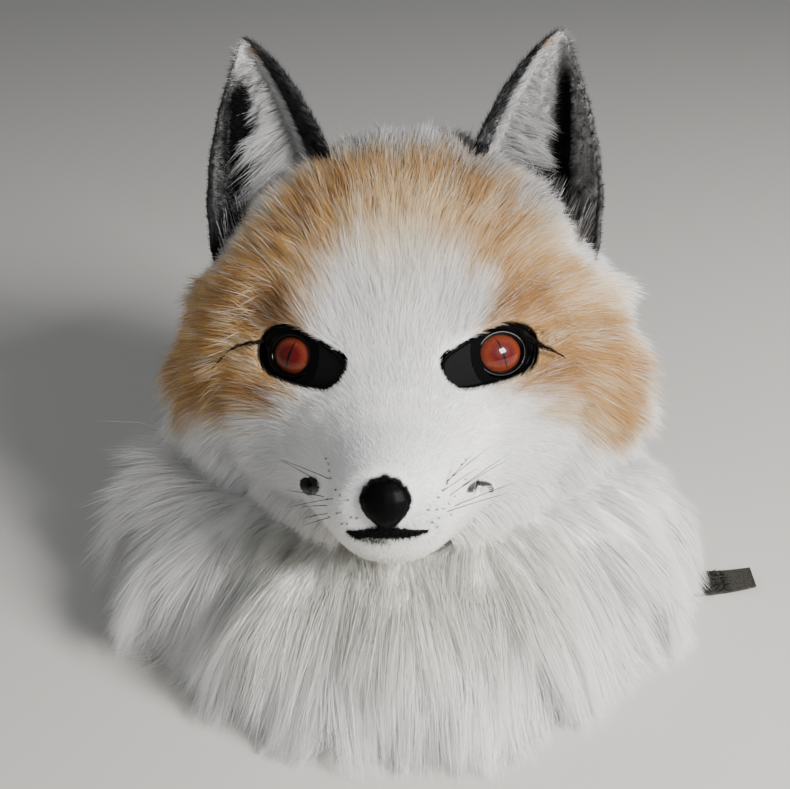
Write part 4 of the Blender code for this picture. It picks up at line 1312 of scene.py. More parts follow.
def ear_front(points, normals):
    """True on the side of the ear that faces forward."""
    return head_way(normals)[:, 1] < -0.15


def ear_colours(points, normals, side, rng, colours):
    """Colour of the ear's short pile."""
    level, share = ear_places(points)
    count = len(points)
    front = ear_front(points, normals)
    mottle = within(ripple(points, 0.0050, 41) + rng.normal(0.0, 0.18, count))
    rim_edge = EAR_RIM["left" if side > 0 else "right"] * mix(1.0, 0.75, ease(level, 2.0, 0.5))
    back = blend(colours["coal"], colours["ash"], within(0.35 + 0.7 * mottle))
    rim = blend(colours["coal"], colours["ash"], within(1.5 * mottle - 0.30))
    light = 1.30 if side > 0 else 0.24
    fuzz = blend(colours["coal"], colours["pale"], within(light * mottle))
    # Painted light and shade: the same pale hair is greyer on the left ear and nearly pure white on
    # the right ear
    grey = 0.32 if side > 0 else 0.02
    pale = blend(colours["pale"], colours["smoke"], grey + 0.3 * mottle)
    colour = np.tile(colours["coal"] * 0.5, (count, 1))
    band = 0.70 if side > 0 else 0.80
    colour = blend(colour, fuzz, 0.85 * ease(share, band, band + 0.10))
    colour = blend(colour, pale, 0.80 * ease(level, 4.2, 5.0))
    colour = blend(colour, pale, ease(share, 0.58, 0.44) * ease(level, 0.0, 0.8))
    low = ease(level, 1.6, 0.3) * ease(share, 0.35, 0.6)
    colour = blend(colour, rim, 0.8 * low)
    edge = 0.905 - 0.11 * ease(level, 3.6, 5.4)
    line = ease(share, edge, edge + 0.035) * ease(level, 0.0, 0.6)
    colour = blend(colour, colours["coal"], 0.85 * line)
    colour = blend(colour, rim, ease(share, rim_edge + 0.02, rim_edge - 0.02))
    spot = np.exp(-((level - 5.0) / 0.25) ** 2 - ((share - rim_edge - 0.04) / 0.07) ** 2)
    colour = blend(colour, colours["ochre"], 0.75 * spot)
    return np.where(front[:, None], colour, back) * rng.uniform(0.85, 1.1, (count, 1))


def ear_fur(name, skin, side, count, seed, coat, colours):
    """Short pile over one ear."""
    rng = np.random.default_rng(seed)

    def keep(points, normals):
        return (to_head(points)[:, 2] > 0.070).astype(float)

    points, normals = rooted(skin, count, rng, keep)
    level, share = ear_places(points)
    front = ear_front(points, normals)
    up = np.tile(np.array((0.35 * side, 0.0, 1.0)) @ HEAD_AXES, (count, 1))
    out = np.tile(np.array((side, -0.15, 0.25)) @ HEAD_AXES, (count, 1))
    flow = np.where((front & (share > 0.5))[:, None], out, up)
    flow = np.where((front & (share <= 0.5))[:, None], up * 0.6 + out * 0.6, flow)
    flow = along_surface(flow, normals)
    rise = rng.uniform(0.25, 0.8, count)[:, None]
    directions = unit(flow + normals * rise + rng.normal(0.0, 0.16, (count, 3)))
    lengths = np.where(front, 0.0060, 0.0052) * rng.uniform(0.7, 1.25, count)
    lengths *= mix(1.0, 0.45, ease(share, 0.86, 0.95))
    lines = paths(points - normals * 0.0005, directions, lengths, 0.05, 2)
    tip = ear_colours(points, normals, side, rng, colours)
    widths = coat.face_width * rng.uniform(0.8, 1.2, count)
    return pile_piece(name, lines, normals, widths, tip * 0.8, tip, rng)


class FURSUIT_OT_ears(bpy.types.Operator):
    """Adds the ear walls with their short pile"""
    bl_idname = "fursuit.ears"
    bl_label = "Ears"

    def execute(self, context):
        coat = context.scene.fursuit_coat
        colours = coat_colours()
        for order, (side_name, side) in enumerate(SIDES.items()):
            skin = soften(copy_of(f"ear_{side_name}", f"ear_wall_{side_name}"), *SOFT_EAR)
            normals = vertex_values(skin, "normal")
            rng = np.random.default_rng(40 + order)
            shade = ear_colours(vertex_values(skin, "co"), normals, side, rng, colours)
            tinted(skin, within(shade * 0.85))
            seated(skin, "ear_pile", dense_material(), f"ear_{side_name}")
            fur = ear_fur(
                f"ear_fur_{side_name}", skin, side, coat.ear_count, 42 + order, coat, colours,
            )
            seated(fur, "ear_pile", hair_material())
        return {"FINISHED"}


class FURSUIT_OT_ear_tufts(bpy.types.Operator):
    """Adds the long hair inside the ears"""
    bl_idname = "fursuit.ear_tufts"
    bl_label = "Ear tufts"

    def execute(self, context):
        for order, (side_name, side) in enumerate(SIDES.items()):
            tufts = ear_tufts(side_name, side, 50 + order)
            seated(tufts, "tuft_pile", hair_material(), f"ear_tuft_{side_name}")
        return {"FINISHED"}


def ear_tufts(side_name, side, seed):
    """Long hair that sweeps from the ear's inner edge, and dark hair at its foot."""
    rng = np.random.default_rng(seed)
    coat = bpy.context.scene.fursuit_coat
    colours = coat_colours()
    count = coat.tuft_count
    white = rng.random(count) < (0.62 if side > 0 else 0.74)
    corner = ~white & (rng.random(count) < 0.25)
    foot = ~white & ~corner
    rim = EAR_RIM[side_name]
    rows = np.array(EAR)
    level = np.where(white, rng.uniform(0.3, 4.7, count), rng.uniform(0.1, 2.0, count))
    level = np.where(corner, rng.uniform(0.9, 1.8, count), level)
    share = np.where(white, rim + 0.03 + rng.beta(1.2, 1.7, count) * (0.42 - rim), 0.0)
    share = np.where(foot, rng.uniform(0.40, 0.97, count), share)
    share = np.where(corner, rng.uniform(0.01, 0.10, count), share)
    spread = np.stack([np.interp(level, np.arange(len(EAR)), rows[:, key]) for key in range(6)])
    x = mix(spread[0], spread[2], share)
    z = mix(spread[1], spread[3], share)
    y = spread[4] + spread[5] * np.sin(math.pi * share) ** 0.7 * 0.80
    points = to_row(np.stack((side * x, y, z), axis=1))
    outward = np.where(white, 0.86 - 0.08 * level, -0.40) + rng.normal(0.0, 0.10, count)
    fall = np.interp(level, (0.0, 2.0, 3.2, 4.7), (-0.22, -0.40, -0.08, 0.10))
    fall = fall * (0.1 if side > 0 else 1.0)
    upward = np.where(white, fall, -0.55) + rng.normal(0.0, 0.10, count)
    forward = np.where(white, -0.34, -0.95) + rng.normal(0.0, 0.10, count)
    outward = np.where(corner, -0.05, outward)
    directions = unit(np.stack((side * outward, forward, upward), axis=1) @ HEAD_AXES)
    long = np.interp(level, (0.0, 2.0, 4.7), (0.052, 0.046, 0.018))
    tress = ripple(np.stack((level, 0.5 * share), axis=1), 0.55, 58)
    usual = mix(0.42, 1.0, ease(tress, 0.50, 0.80)) * long
    usual = usual * (0.66 if side > 0 else 1.0)
    lengths = np.where(white, usual, np.where(corner, 0.013, 0.033)) * rng.uniform(0.7, 1.15, count)
    lines = paths(points, directions, lengths, rng.uniform(0.10, 0.34, count), 4)
    lines = clumped(lines, 0.035, (0.35, 0.90), rng)
    tip = mix(colours["pale"], colours["smoke"], 0.55 * rng.random((count, 1)))
    # Painted shade: the ear tufts are darker than the pale coat, the left ear's more than the
    # right's
    tip = tip * (0.80 if side > 0 else 0.95)
    dark = blend(colours["coal"], colours["smoke"], rng.random(count) ** 1.5)
    light = 0.10 if side > 0 else 0.22
    dark = np.where((rng.random(count) < light)[:, None], colours["pale"], dark)
    tip = np.where(foot[:, None], dark, tip)
    tip = np.where(corner[:, None], colours["coal"], tip)
    facing = np.tile(np.array((0.0, -1.0, 0.2)) @ HEAD_AXES, (count, 1))
    widths = coat.hair_width * rng.uniform(0.75, 1.05, count)
    return pile_piece(f"ear_tufts_{side_name}", lines, facing, widths, tip * 0.9, tip, rng)


# Eyes

def eye_axes():
    """Outward, up and facing of the left eye, head frame."""
    outward = np.array((math.cos(EYE_YAW), math.sin(EYE_YAW), 0.0))
    level = np.array((math.sin(EYE_YAW), -math.cos(EYE_YAW), 0.0))
    facing = level * math.cos(EYE_LEAN) + np.array((0.0, 0.0, math.sin(EYE_LEAN)))
    up = np.array((0.0, 0.0, math.cos(EYE_LEAN))) - level * math.sin(EYE_LEAN)
    return outward, up, facing


def eye_to_row(points, side):
    """Eye frame (outward, up, facing) to row frame, for the left or right eye."""
    outward, up, facing = eye_axes()
    head = EYE_CENTRE + np.asarray(points, float) @ np.array((outward, up, facing))
    return to_row(head * (side, 1.0, 1.0))


def eye_matrix(side):
    """Row-frame placing of a shape that is modelled in the eye frame."""
    origin = eye_to_row((0.0, 0.0, 0.0), side)
    ends = [eye_to_row(axis, side) - origin for axis in np.eye(3)]
    matrix = Matrix.Identity(4)
    for column, end in enumerate(ends):
        matrix.col[column][:3] = end
    matrix.col[3][:3] = origin
    return matrix


def smooth_outline(steps):
    """The eye's outline as a smooth closed line through its points."""
    corners = np.array(EYE_OUTLINE)
    line = []
    for index in range(len(corners)):
        around = [(index + shift) % len(corners) for shift in (-1, 0, 1, 2)]
        before, start, end, after = corners[around]
        for step in range(steps):
            t = step / steps
            line.append(0.5 * (
                2.0 * start + (end - before) * t
                + (2.0 * before - 5.0 * start + 4.0 * end - after) * t ** 2
                + (3.0 * start - before - 3.0 * end + after) * t ** 3
            ))
    return np.array(line)


def eye_gap_tree():
    """A function that gives how far row-frame points lie outside the eyes' outlines."""
    outline = smooth_outline(EYE_SMOOTH)
    outward, up, facing = eye_axes()
    axes = np.array((outward, up, facing))

    def gap(points):
        head = to_head(points)
        head[:, 0] = np.abs(head[:, 0])
        inside = (head - EYE_CENTRE) @ axes.T
        depth = patch_depth(inside[:, :2] / MM, outline / MM) * MM
        near = np.abs(inside[:, 2]) < 0.03
        return np.where(near, -depth, 0.1)

    return gap


def filled_outline(name, outline, low, high):
    """A closed plate of an outline in the eye frame."""
    bpy.ops.object.select_all(action="DESELECT")
    bpy.ops.mesh.primitive_circle_add(vertices=len(outline), radius=1.0, fill_type="NGON")
    plate = bpy.context.object
    plate.name = name
    for vertex, (x, y) in zip(plate.data.vertices, outline):
        vertex.co = (x, y, low)
    edited(plate, bpy.ops.mesh.extrude_region_move,
           TRANSFORM_OT_translate={"value": (0.0, 0.0, high - low)})
    return edited(plate, bpy.ops.mesh.normals_make_consistent, inside=False)


def placed(piece, side):
    """Moves a shape from the eye frame to its eye, turned right side out."""
    piece.data.transform(eye_matrix(side))
    if side < 0:
        piece.data.flip_normals()
    piece.data.update()
    return piece


def counter_clockwise(outline):
    """The outline turned so that it runs counter-clockwise."""
    following = np.roll(outline, -1, axis=0)
    area = (outline[:, 0] * following[:, 1] - following[:, 0] * outline[:, 1]).sum()
    return outline if area > 0 else outline[::-1]


def trimmed(piece, operation, x, wide, high):
    """Keeps or removes what lies in an upright oval column of the eye frame."""
    bpy.ops.object.select_all(action="DESELECT")
    bpy.ops.mesh.primitive_cylinder_add(vertices=96, radius=1.0, depth=0.03)
    cutter = bpy.context.object
    shape = Matrix.Diagonal((wide, high, 1.0, 1.0))
    cutter.data.transform(Matrix.Translation((x, 0.0, 0.0)) @ shape)
    modifier = piece.modifiers.new("Trim", "BOOLEAN")
    modifier.operation = operation
    modifier.object = cutter
    alone(piece)
    bpy.ops.object.modifier_apply(modifier="Trim")
    bpy.data.objects.remove(cutter)


class FURSUIT_OT_lids(bpy.types.Operator):
    """Adds the glossy surrounds of the eyes"""
    bl_idname = "fursuit.lids"
    bl_label = "Eye surrounds"

    def execute(self, context):
        eyes = context.scene.fursuit_eyes
        gloss = gloss_material("Lid gloss", eyes.lid, 0.18, specular_ior_level=0.13)
        outline = counter_clockwise(smooth_outline(EYE_SMOOTH))
        for side_name, side in SIDES.items():
            plate = filled_outline("plate", outline, LID_BACK, LID_FRONT)
            trimmed(plate, "INTERSECT", PANEL_EDGE[0], PANEL_EDGE[1], PANEL_EDGE[1])
            trimmed(plate, "DIFFERENCE", 0.0, IRIS_WIDE, IRIS_HIGH)
            apply(plate, "BEVEL", width=0.0003, segments=2, limit_method="ANGLE")
            wide, sunk = LID_FLANGE
            flange = filled_outline("flange", widened(outline, wide), LID_BACK, LID_FRONT - sunk)
            parts = [plate, flange, lid_lip(outline), lid_ring()]
            bpy.ops.object.select_all(action="DESELECT")
            for part in parts:
                part.select_set(True)
            bpy.context.view_layer.objects.active = plate
            bpy.ops.object.join()
            lid = settle(bpy.context.object, f"lid_{side_name}")
            placed(lid, side)
            lid.data.shade_smooth()
            alone(lid)
            bpy.ops.object.shade_smooth_by_angle(angle=math.radians(20.0))
            seated(lid, "lid_black", gloss, f"eye_rim_{side_name}")
        return {"FINISHED"}


def widened(outline, amount):
    """The outline moved outwards by the amount."""
    along = unit(np.roll(outline, -1, axis=0) - np.roll(outline, 1, axis=0))
    across = np.stack((along[:, 1], -along[:, 0]), axis=1)
    out = np.sign((across * (outline - outline.mean(0))).sum(1).mean())
    return outline + out * amount * across


def lid_lip(outline):
    """Rounded lip that follows the eye's outline."""
    curve = bpy.data.curves.new("lip_line", "CURVE")
    curve.dimensions = "3D"
    spline = curve.splines.new("POLY")
    spline.points.add(len(outline) - 1)
    for point, (x, y) in zip(spline.points, outline):
        point.co = (x, y, LID_FRONT, 1.0)
    spline.use_cyclic_u = True
    curve.bevel_depth = LID_LIP
    curve.bevel_resolution = 3
    alone(linked("lip_line", curve))
    bpy.ops.object.convert(target="MESH")
    return bpy.context.object


def lid_ring():
    """Raised ring round the iris, which looks further forward than the surround."""
    bpy.ops.object.select_all(action="DESELECT")
    high, wide = IRIS_HIGH + 0.75 * LID_RING, IRIS_WIDE + 0.75 * LID_RING
    bpy.ops.mesh.primitive_torus_add(
        major_radius=high, minor_radius=LID_RING, major_segments=84, minor_segments=22,
    )
    ring = bpy.context.object
    ring.data.transform(iris_place() @ Matrix.Diagonal((wide / high, 1.0, 1.4, 1.0)))
    return ring


def iris_place():
    """Place of the iris in the eye frame."""
    shift = Matrix.Translation((0.0, -0.0005, LID_FRONT))
    return shift @ Matrix.Rotation(-IRIS_TURN, 4, "Y")


def iris_material(side):
    """Glossy iris: an orange rim, a red heart with fine rays, and a slit pupil."""
    eyes = bpy.context.scene.fursuit_eyes
    material, nodes, links = new_material(f"Iris {'left' if side > 0 else 'right'}")
    where = nodes.new("ShaderNodeTexCoord")
    place = nodes.new("ShaderNodeMapping")
    place.vector_type = "TEXTURE"
    matrix = eye_matrix(1.0) @ iris_place()
    if side < 0:
        turned = matrix.copy()
        turned.col[0] = -turned.col[0]
        mirror = Matrix.Diagonal((-1.0, 1.0, 1.0, 1.0))
        matrix = mirror @ turned
    place.inputs["Location"].default_value = matrix.to_translation()
    place.inputs["Rotation"].default_value = matrix.to_euler()
    links.new(where.outputs["Object"], place.inputs["Vector"])
    parts = nodes.new("ShaderNodeSeparateXYZ")
    links.new(place.outputs["Vector"], parts.inputs[0])

    def maths(operation, first, second=None, third=None, clamp=False):
        node = nodes.new("ShaderNodeMath")
        node.operation = operation
        node.use_clamp = clamp
        for index, value in enumerate((first, second, third)):
            if value is None:
                continue
            if isinstance(value, (int, float)):
                node.inputs[index].default_value = value
            else:
                links.new(value, node.inputs[index])
        return node.outputs[0]

    across, upward = parts.outputs["X"], parts.outputs["Y"]
    wide, high = maths("DIVIDE", across, IRIS_WIDE), maths("DIVIDE", upward, IRIS_HIGH)
    radius = maths("SQRT", maths("ADD", maths("POWER", wide, 2.0), maths("POWER", high, 2.0)))
    angle = maths("ARCTAN2", upward, across)
    rays = added(nodes, "TexNoise", Scale=1.0, Detail=2.0)
    spokes = nodes.new("ShaderNodeCombineXYZ")
    links.new(maths("MULTIPLY", angle, 9.0), spokes.inputs["X"])
    links.new(maths("MULTIPLY", radius, 2.2), spokes.inputs["Y"])
    links.new(spokes.outputs[0], rays.inputs["Vector"])
    uneven = maths("SUBTRACT", rays.outputs["Fac"], 0.5)
    shifted = maths("MULTIPLY_ADD", uneven, 0.40, radius)
    ramp = nodes.new("ShaderNodeValToRGB")
    steps = ramp.color_ramp.elements
    steps[0].position, steps[0].color = 0.0, plain(np.array(eyes.iris_heart) * 1.15)
    steps[1].position, steps[1].color = 1.0, plain(np.array(eyes.iris_rim) * 0.55)
    heart = steps.new(0.42)
    heart.color = plain(eyes.iris_heart)
    rim = steps.new(0.72)
    rim.color = plain(eyes.iris_rim)
    links.new(shifted, ramp.inputs[0])
    lean = maths("MULTIPLY_ADD", upward, PUPIL_LEAN * side, across)
    lean = maths("MULTIPLY_ADD", uneven, 0.0012, lean)
    half = maths("MULTIPLY_ADD", maths("ABSOLUTE", upward), -PUPIL_TAPER, PUPIL_HALF)
    inside = maths("SUBTRACT", half, maths("ABSOLUTE", lean))
    slit = maths("DIVIDE", inside, PUPIL_SOFT, clamp=True)
    pupil = nodes.new("ShaderNodeMix")
    pupil.data_type = "RGBA"
    links.new(slit, pupil.inputs["Factor"])
    links.new(ramp.outputs[0], pupil.inputs[6])
    pupil.inputs[7].default_value = plain(eyes.pupil)
    shader = principled(
        nodes, (1.0, 0.2, 0.1), 0.45, specular_ior_level=0.1, coat_weight=1.0, coat_roughness=0.03,
        coat_ior=1.35,
    )
    links.new(pupil.outputs[2], shader.inputs["Base Color"])
    surface_from(shader, nodes, links)
    return material


class FURSUIT_OT_irises(bpy.types.Operator):
    """Adds the domed irises"""
    bl_idname = "fursuit.irises"
    bl_label = "Irises"

    def execute(self, context):
        ball = (IRIS_HIGH ** 2 + IRIS_BULGE ** 2) / (2.0 * IRIS_BULGE)
        for side_name, side in SIDES.items():
            bpy.ops.object.select_all(action="DESELECT")
            bpy.ops.mesh.primitive_uv_sphere_add(
                segments=96, ring_count=96, radius=ball, location=(0.0, 0.0, IRIS_BULGE - ball),
            )
            dome = bpy.context.object
            bpy.ops.object.transform_apply(location=True, rotation=True, scale=True)
            edited(dome, bpy.ops.mesh.bisect, plane_co=(0.0, 0.0, -0.0010),
                   plane_no=(0.0, 0.0, 1.0), use_fill=True, clear_inner=True)
            settle(dome, f"iris_{side_name}")
            shape = Matrix.Diagonal((IRIS_WIDE / IRIS_HIGH, 1.0, 1.0, 1.0))
            dome.data.transform(iris_place() @ shape)
            placed(dome, side)
            alone(dome)
            bpy.ops.object.shade_smooth_by_angle(angle=math.radians(40.0))
            seated(dome, "iris", iris_material(side), f"eye_dome_{side_name}")
        return {"FINISHED"}


def weave_lines(outline, along, pitch):
    """Wires in one direction across the outline, each with its ends."""
    cross = 1 - along
    low, high = outline[:, cross].min(), outline[:, cross].max()
    lines = []
    for order in range(int((high - low) / pitch)):
        at = low + (order + 0.5) * pitch
        ends = []
        for start, end in zip(outline, np.roll(outline, -1, axis=0)):
            if (start[cross] - at) * (end[cross] - at) < 0.0:
                share = (at - start[cross]) / (end[cross] - start[cross])
                ends.append(mix(start[along], end[along], share))
        if len(ends) >= 2 and max(ends) - min(ends) > pitch:
            lines.append((order, at, min(ends), max(ends)))
    return lines


def vision_weave(name, side):
    """Woven threads of the see-through panel, over and under each other."""
    inner = smooth_outline(EYE_SMOOTH)
    edge = PANEL_EDGE[0] - np.sqrt(PANEL_EDGE[1] ** 2 - inner[:, 1] ** 2)
    inner[:, 0] = np.minimum(inner[:, 0], edge)
    corners, faces = [], []
    for along in (0, 1):
        for order, at, start, end in weave_lines(inner, along, WEAVE_PITCH):
            steps = max(2, int((end - start) / WEAVE_PITCH * 2.0))
            for step in range(steps + 1):
                value = mix(start, end, step / steps)
                wave = math.cos(math.pi * (value / WEAVE_PITCH + order)) * (1.0 if along else -1.0)
                height = PANEL_FRONT + WEAVE_CLEAR + WEAVE_RISE * wave
                centre = np.array((value, at, height) if along == 0 else (at, value, height))
                wide = np.zeros(3)
                wide[1 - along] = WEAVE_WIRE
                tall = np.array((0.0, 0.0, 0.5 * WEAVE_WIRE))
                base = len(corners)
                corners += [centre - wide, centre - tall, centre + wide, centre + tall]
                if step:
                    for edge in range(4):
                        after = (edge + 1) % 4
                        faces.append((base - 4 + edge, base - 4 + after, base + after, base + edge))
                else:
                    faces.append((base + 3, base + 2, base + 1, base))
            faces.append((base, base + 1, base + 2, base + 3))
    mesh = bpy.data.meshes.new(name)
    mesh.from_pydata(eye_to_row(np.array(corners), side).tolist(), [], faces)
    mesh.update()
    return edited(linked(name, mesh), bpy.ops.mesh.normals_make_consistent, inside=False)


class FURSUIT_OT_vision_panels(bpy.types.Operator):
    """Adds the woven panels that the wearer looks through, on a black sheet of painted shade"""
    bl_idname = "fursuit.vision_panels"
    bl_label = "Vision panels"

    def execute(self, context):
        thread = gloss_material("Panel thread", srgb(*THREAD_BLACK), 0.4, specular_ior_level=0.18)
        # Painted shade: a black sheet behind the weave stands in for the dark inside of the head
        # seen through the panel
        shade_sheet = gloss_material(
            "Panel shade sheet", srgb(*PANEL_SHADE_BLACK), 0.9, specular_ior_level=0.1,
        )
        outline = smooth_outline(EYE_SMOOTH)
        outline[:, 0] = np.minimum(outline[:, 0], PANEL_INNER)
        outline = counter_clockwise(outline)
        for side_name, side in SIDES.items():
            weave = vision_weave(f"vision_weave_{side_name}", side)
            seated(weave, "vision_mesh", thread)
            panel = filled_outline("panel", outline, PANEL_BACK, PANEL_FRONT)
            settle(panel, f"vision_panel_{side_name}")
            placed(panel, side)
            seated(panel, "vision_mesh", shade_sheet, f"eye_mesh_{side_name}")
        return {"FINISHED"}


# Nose, mouth, whiskers

class FURSUIT_OT_nose(bpy.types.Operator):
    """Adds the nose and the short black hair at its edge"""
    bl_idname = "fursuit.nose"
    bl_label = "Nose"

    def execute(self, context):
        eyes = context.scene.fursuit_eyes
        nose = soften(copy_of("nose", "nose_pad"), *SOFT_NOSE)
        for side in SIDES.values():
            pull(nose, (side * 0.0090, -0.177, -0.0180), 0.0180, (side * 0.0017, -0.0002, -0.0004))
        finish = gloss_material(
            "Nose", eyes.nose, 0.46, bump_scale=900.0, bump_depth=0.00012, specular_ior_level=0.055,
        )
        seated(nose, "nose_black", finish, "nose")
        rng = np.random.default_rng(61)
        face = tree_of(bpy.data.objects["face_skin"])

        def keep(points, normals):
            gaps = gaps_to(face, points)
            forward = -head_way(normals)[:, 1]
            return ((gaps < 0.0022) & (forward > -0.5)).astype(float)

        count = NOSE_HAIRS
        points, normals = rooted(nose, count, rng, keep)
        middle = to_row((0.0, -0.178, -0.012))
        flow = along_surface(unit(points - middle), normals)
        rise = rng.uniform(0.0, 0.6, (count, 1))
        directions = unit(flow + normals * rise + rng.normal(0.0, 0.25, (count, 3)))
        top = ease(to_head(points)[:, 2], -0.012, 0.0)
        lengths = rng.uniform(0.0005, 0.0016, count) * (1.0 + 1.8 * top)
        lines = paths(points, directions, lengths, 0.0, 2)
        edge = strand_piece("nose_edge_hair", lines, NOSE_HAIR, srgb(*NOSE_HAIR_BLACK), rng)
        seated(edge, "nose_black", dark_hair_material())
        return {"FINISHED"}


class FURSUIT_OT_lip(bpy.types.Operator):
    """Adds the dark lip line and the ragged dark hair along it"""
    bl_idname = "fursuit.lip"
    bl_label = "Lip"

    def execute(self, context):
        lip = soften(copy_of("lip", "lip_line"), *SOFT_LIP)
        pull(lip, (-0.0125, -0.1710, -0.0290), 0.0048, (0.0, 0.0, -0.0015))
        pull(lip, (0.0150, -0.1700, -0.0290), 0.0090, (0.0, 0.0, 0.0006))
        finish = gloss_material("Lip", srgb(*LIP_BLACK), 0.6, specular_ior_level=0.2)
        seated(lip, "nose_black", finish, "lip")
        rng = np.random.default_rng(63)
        count = LIP_HAIRS

        def keep(points, normals):
            return (head_way(normals)[:, 1] < 0.4).astype(float)

        points, normals = rooted(lip, count, rng, keep)
        directions = unit(normals + rng.normal(0.0, 0.9, (count, 3)))
        head = to_head(points)
        uneven = ripple(head[:, :1], 0.0035, 64)
        upper = ease(head_way(normals)[:, 2], 0.0, 0.6)
        middle = ease(np.abs(head[:, 0]), 0.010, 0.005) * upper
        drop = ease(head[:, 0], -0.012, -0.015) * ease(head[:, 0], -0.021, -0.017)
        directions[:, 2] -= 0.8 * drop
        directions = unit(directions)
        lengths = rng.uniform(0.0006, 0.0026, count) * (0.22 + 1.6 * uneven)
        lengths += 0.0018 * middle + 0.0015 * drop * rng.random(count)
        face = tree_of(bpy.data.objects["face_skin"])
        stroke, facing = surface_points(
            face, rng.normal(-0.0070, 0.0042, LIP_STROKES),
            rng.normal(-0.0338, 0.0011, LIP_STROKES),
        )
        below = unit(facing + rng.normal(0.0, 0.5, (len(stroke), 3)))
        points = np.concatenate((points, stroke))
        directions = np.concatenate((directions, below))
        lengths = np.concatenate((lengths, rng.uniform(0.0014, 0.0026, len(stroke))))
        lines = paths(points, directions, lengths, 0.1, 2)
        shade = np.tile(srgb(*LIP_HAIR_BLACK), (len(points), 1, 1))
        shade[count:] = srgb(*LIP_STROKE_GREY)
        hair = strand_piece("lip_hair", lines, LIP_HAIR, shade, rng)
        seated(hair, "nose_black", dark_hair_material())
        return {"FINISHED"}


def surface_points(tree, across, high):
    """Points and normals on the face straight behind head-frame places."""
    points, normals = [], []
    for x, z in zip(across, high):
        start = Vector(to_row((x, -0.25, z)))
        hit, normal, index, gap = tree.ray_cast(start, Vector(HEAD_AXES[1]))
        if hit is not None:
            points.append(tuple(hit))
            normals.append(tuple(normal))
    return np.array(points), np.array(normals)


class FURSUIT_OT_whiskers(bpy.types.Operator):
    """Adds the whiskers and the dots at their roots"""
    bl_idname = "fursuit.whiskers"
    bl_label = "Whiskers"

    def execute(self, context):
        rng = np.random.default_rng(65)
        rows = np.array(WHISKERS, float)
        roots = to_row(rows[:, :3] * MM)
        back, rise = np.radians(rows[:, 4]), np.radians(rows[:, 5])
        side = np.sign(rows[:, 0])
        level = np.cos(rise)
        ways = np.stack((side * np.cos(back) * level, np.sin(back) * level, np.sin(rise)), axis=1)
        directions = unit(ways @ HEAD_AXES)
        starts = roots - directions * 0.002
        lines = paths(starts, directions, rows[:, 3] * MM * 1.2, 0.06, 6)
        whiskers = strand_piece(
            "whiskers", lines, WHISKER_WIDTH, srgb(*WHISKER_GREY), rng, sides=6, taper=0.5,
        )
        seated(whiskers, "nose_black", dark_hair_material())
        face = tree_of(bpy.data.objects["face_skin"])
        dots = np.array(DOTS) * MM
        spots, facing = surface_points(face, dots[:, 0], dots[:, 1])
        count = len(spots) * DOT_HAIRS
        normals = np.repeat(facing, DOT_HAIRS, axis=0)
        points = np.repeat(spots, DOT_HAIRS, axis=0) + rng.normal(0.0, 0.00024, (count, 3))
        directions = unit(coat_flow(points, normals) + normals * 0.6)
        starts = points + directions * 0.0012
        lines = paths(starts, directions, rng.uniform(0.0010, 0.0015, count), 0.0, 2)
        marks = strand_piece("whisker_dots", lines, DOT_HAIR, srgb(*DOT_GREY), rng)
        seated(marks, "nose_black", dark_hair_material())
        return {"FINISHED"}


class FURSUIT_OT_lashes(bpy.types.Operator):
    """Adds the dark lines that run out from the eyes"""
    bl_idname = "fursuit.lashes"
    bl_label = "Lash lines"

    def execute(self, context):
        rng = np.random.default_rng(67)
        points, ways, widths = [], [], []
        for line, thick in ((LASH_RIGHT, 0.0008), (LASH_LEFT, 0.0019)):
            corners = np.array(line, float) * MM
            at = np.linspace(0.0, len(corners) - 1.001, LASH_HAIRS)
            low = at.astype(int)
            place = mix(corners[low], corners[low + 1], (at - low)[:, None])
            share = at / (len(corners) - 1)
            place[:, 1] -= 0.0060 * share ** 0.7
            spread = thick * (1.0 - share) ** 1.3 + 0.00018
            points.append(place + spread[:, None] * rng.normal(0.0, 0.7, (LASH_HAIRS, 3)))
            ways.append(unit(corners[low + 1] - corners[low]))
            widths.append(mix(0.00055, 0.00030, share))
        points, ways, widths = (np.concatenate(part) for part in (points, ways, widths))
        count = len(points)
        directions = unit(ways + rng.normal(0.0, 0.05, (count, 3))) @ HEAD_AXES
        lines = paths(to_row(points), directions, rng.uniform(0.003, 0.007, count), 0.04, 3)
        hair = strand_piece("lash_lines", lines, widths, srgb(*LASH_BLACK), rng)
        seated(hair, "lid_black", dark_hair_material())
        specks = np.repeat(np.array(LASH_SPECKS) * MM, SPECK_HAIRS, axis=0)
        count = len(specks)
        roots = to_row(specks + rng.normal(0.0, 0.0005, (count, 3)))
        directions = unit(rng.normal(0.0, 0.35, (count, 3)) + (0.8, 0.2, 0.3)) @ HEAD_AXES
        lines = paths(roots, directions, rng.uniform(0.0010, 0.0026, count), 0.0, 2)
        marks = strand_piece("lash_specks", lines, SPECK_HAIR, srgb(*SPECK_BROWN), rng)
        seated(marks, "lid_black", dark_hair_material())
        return {"FINISHED"}


# Tab and shell

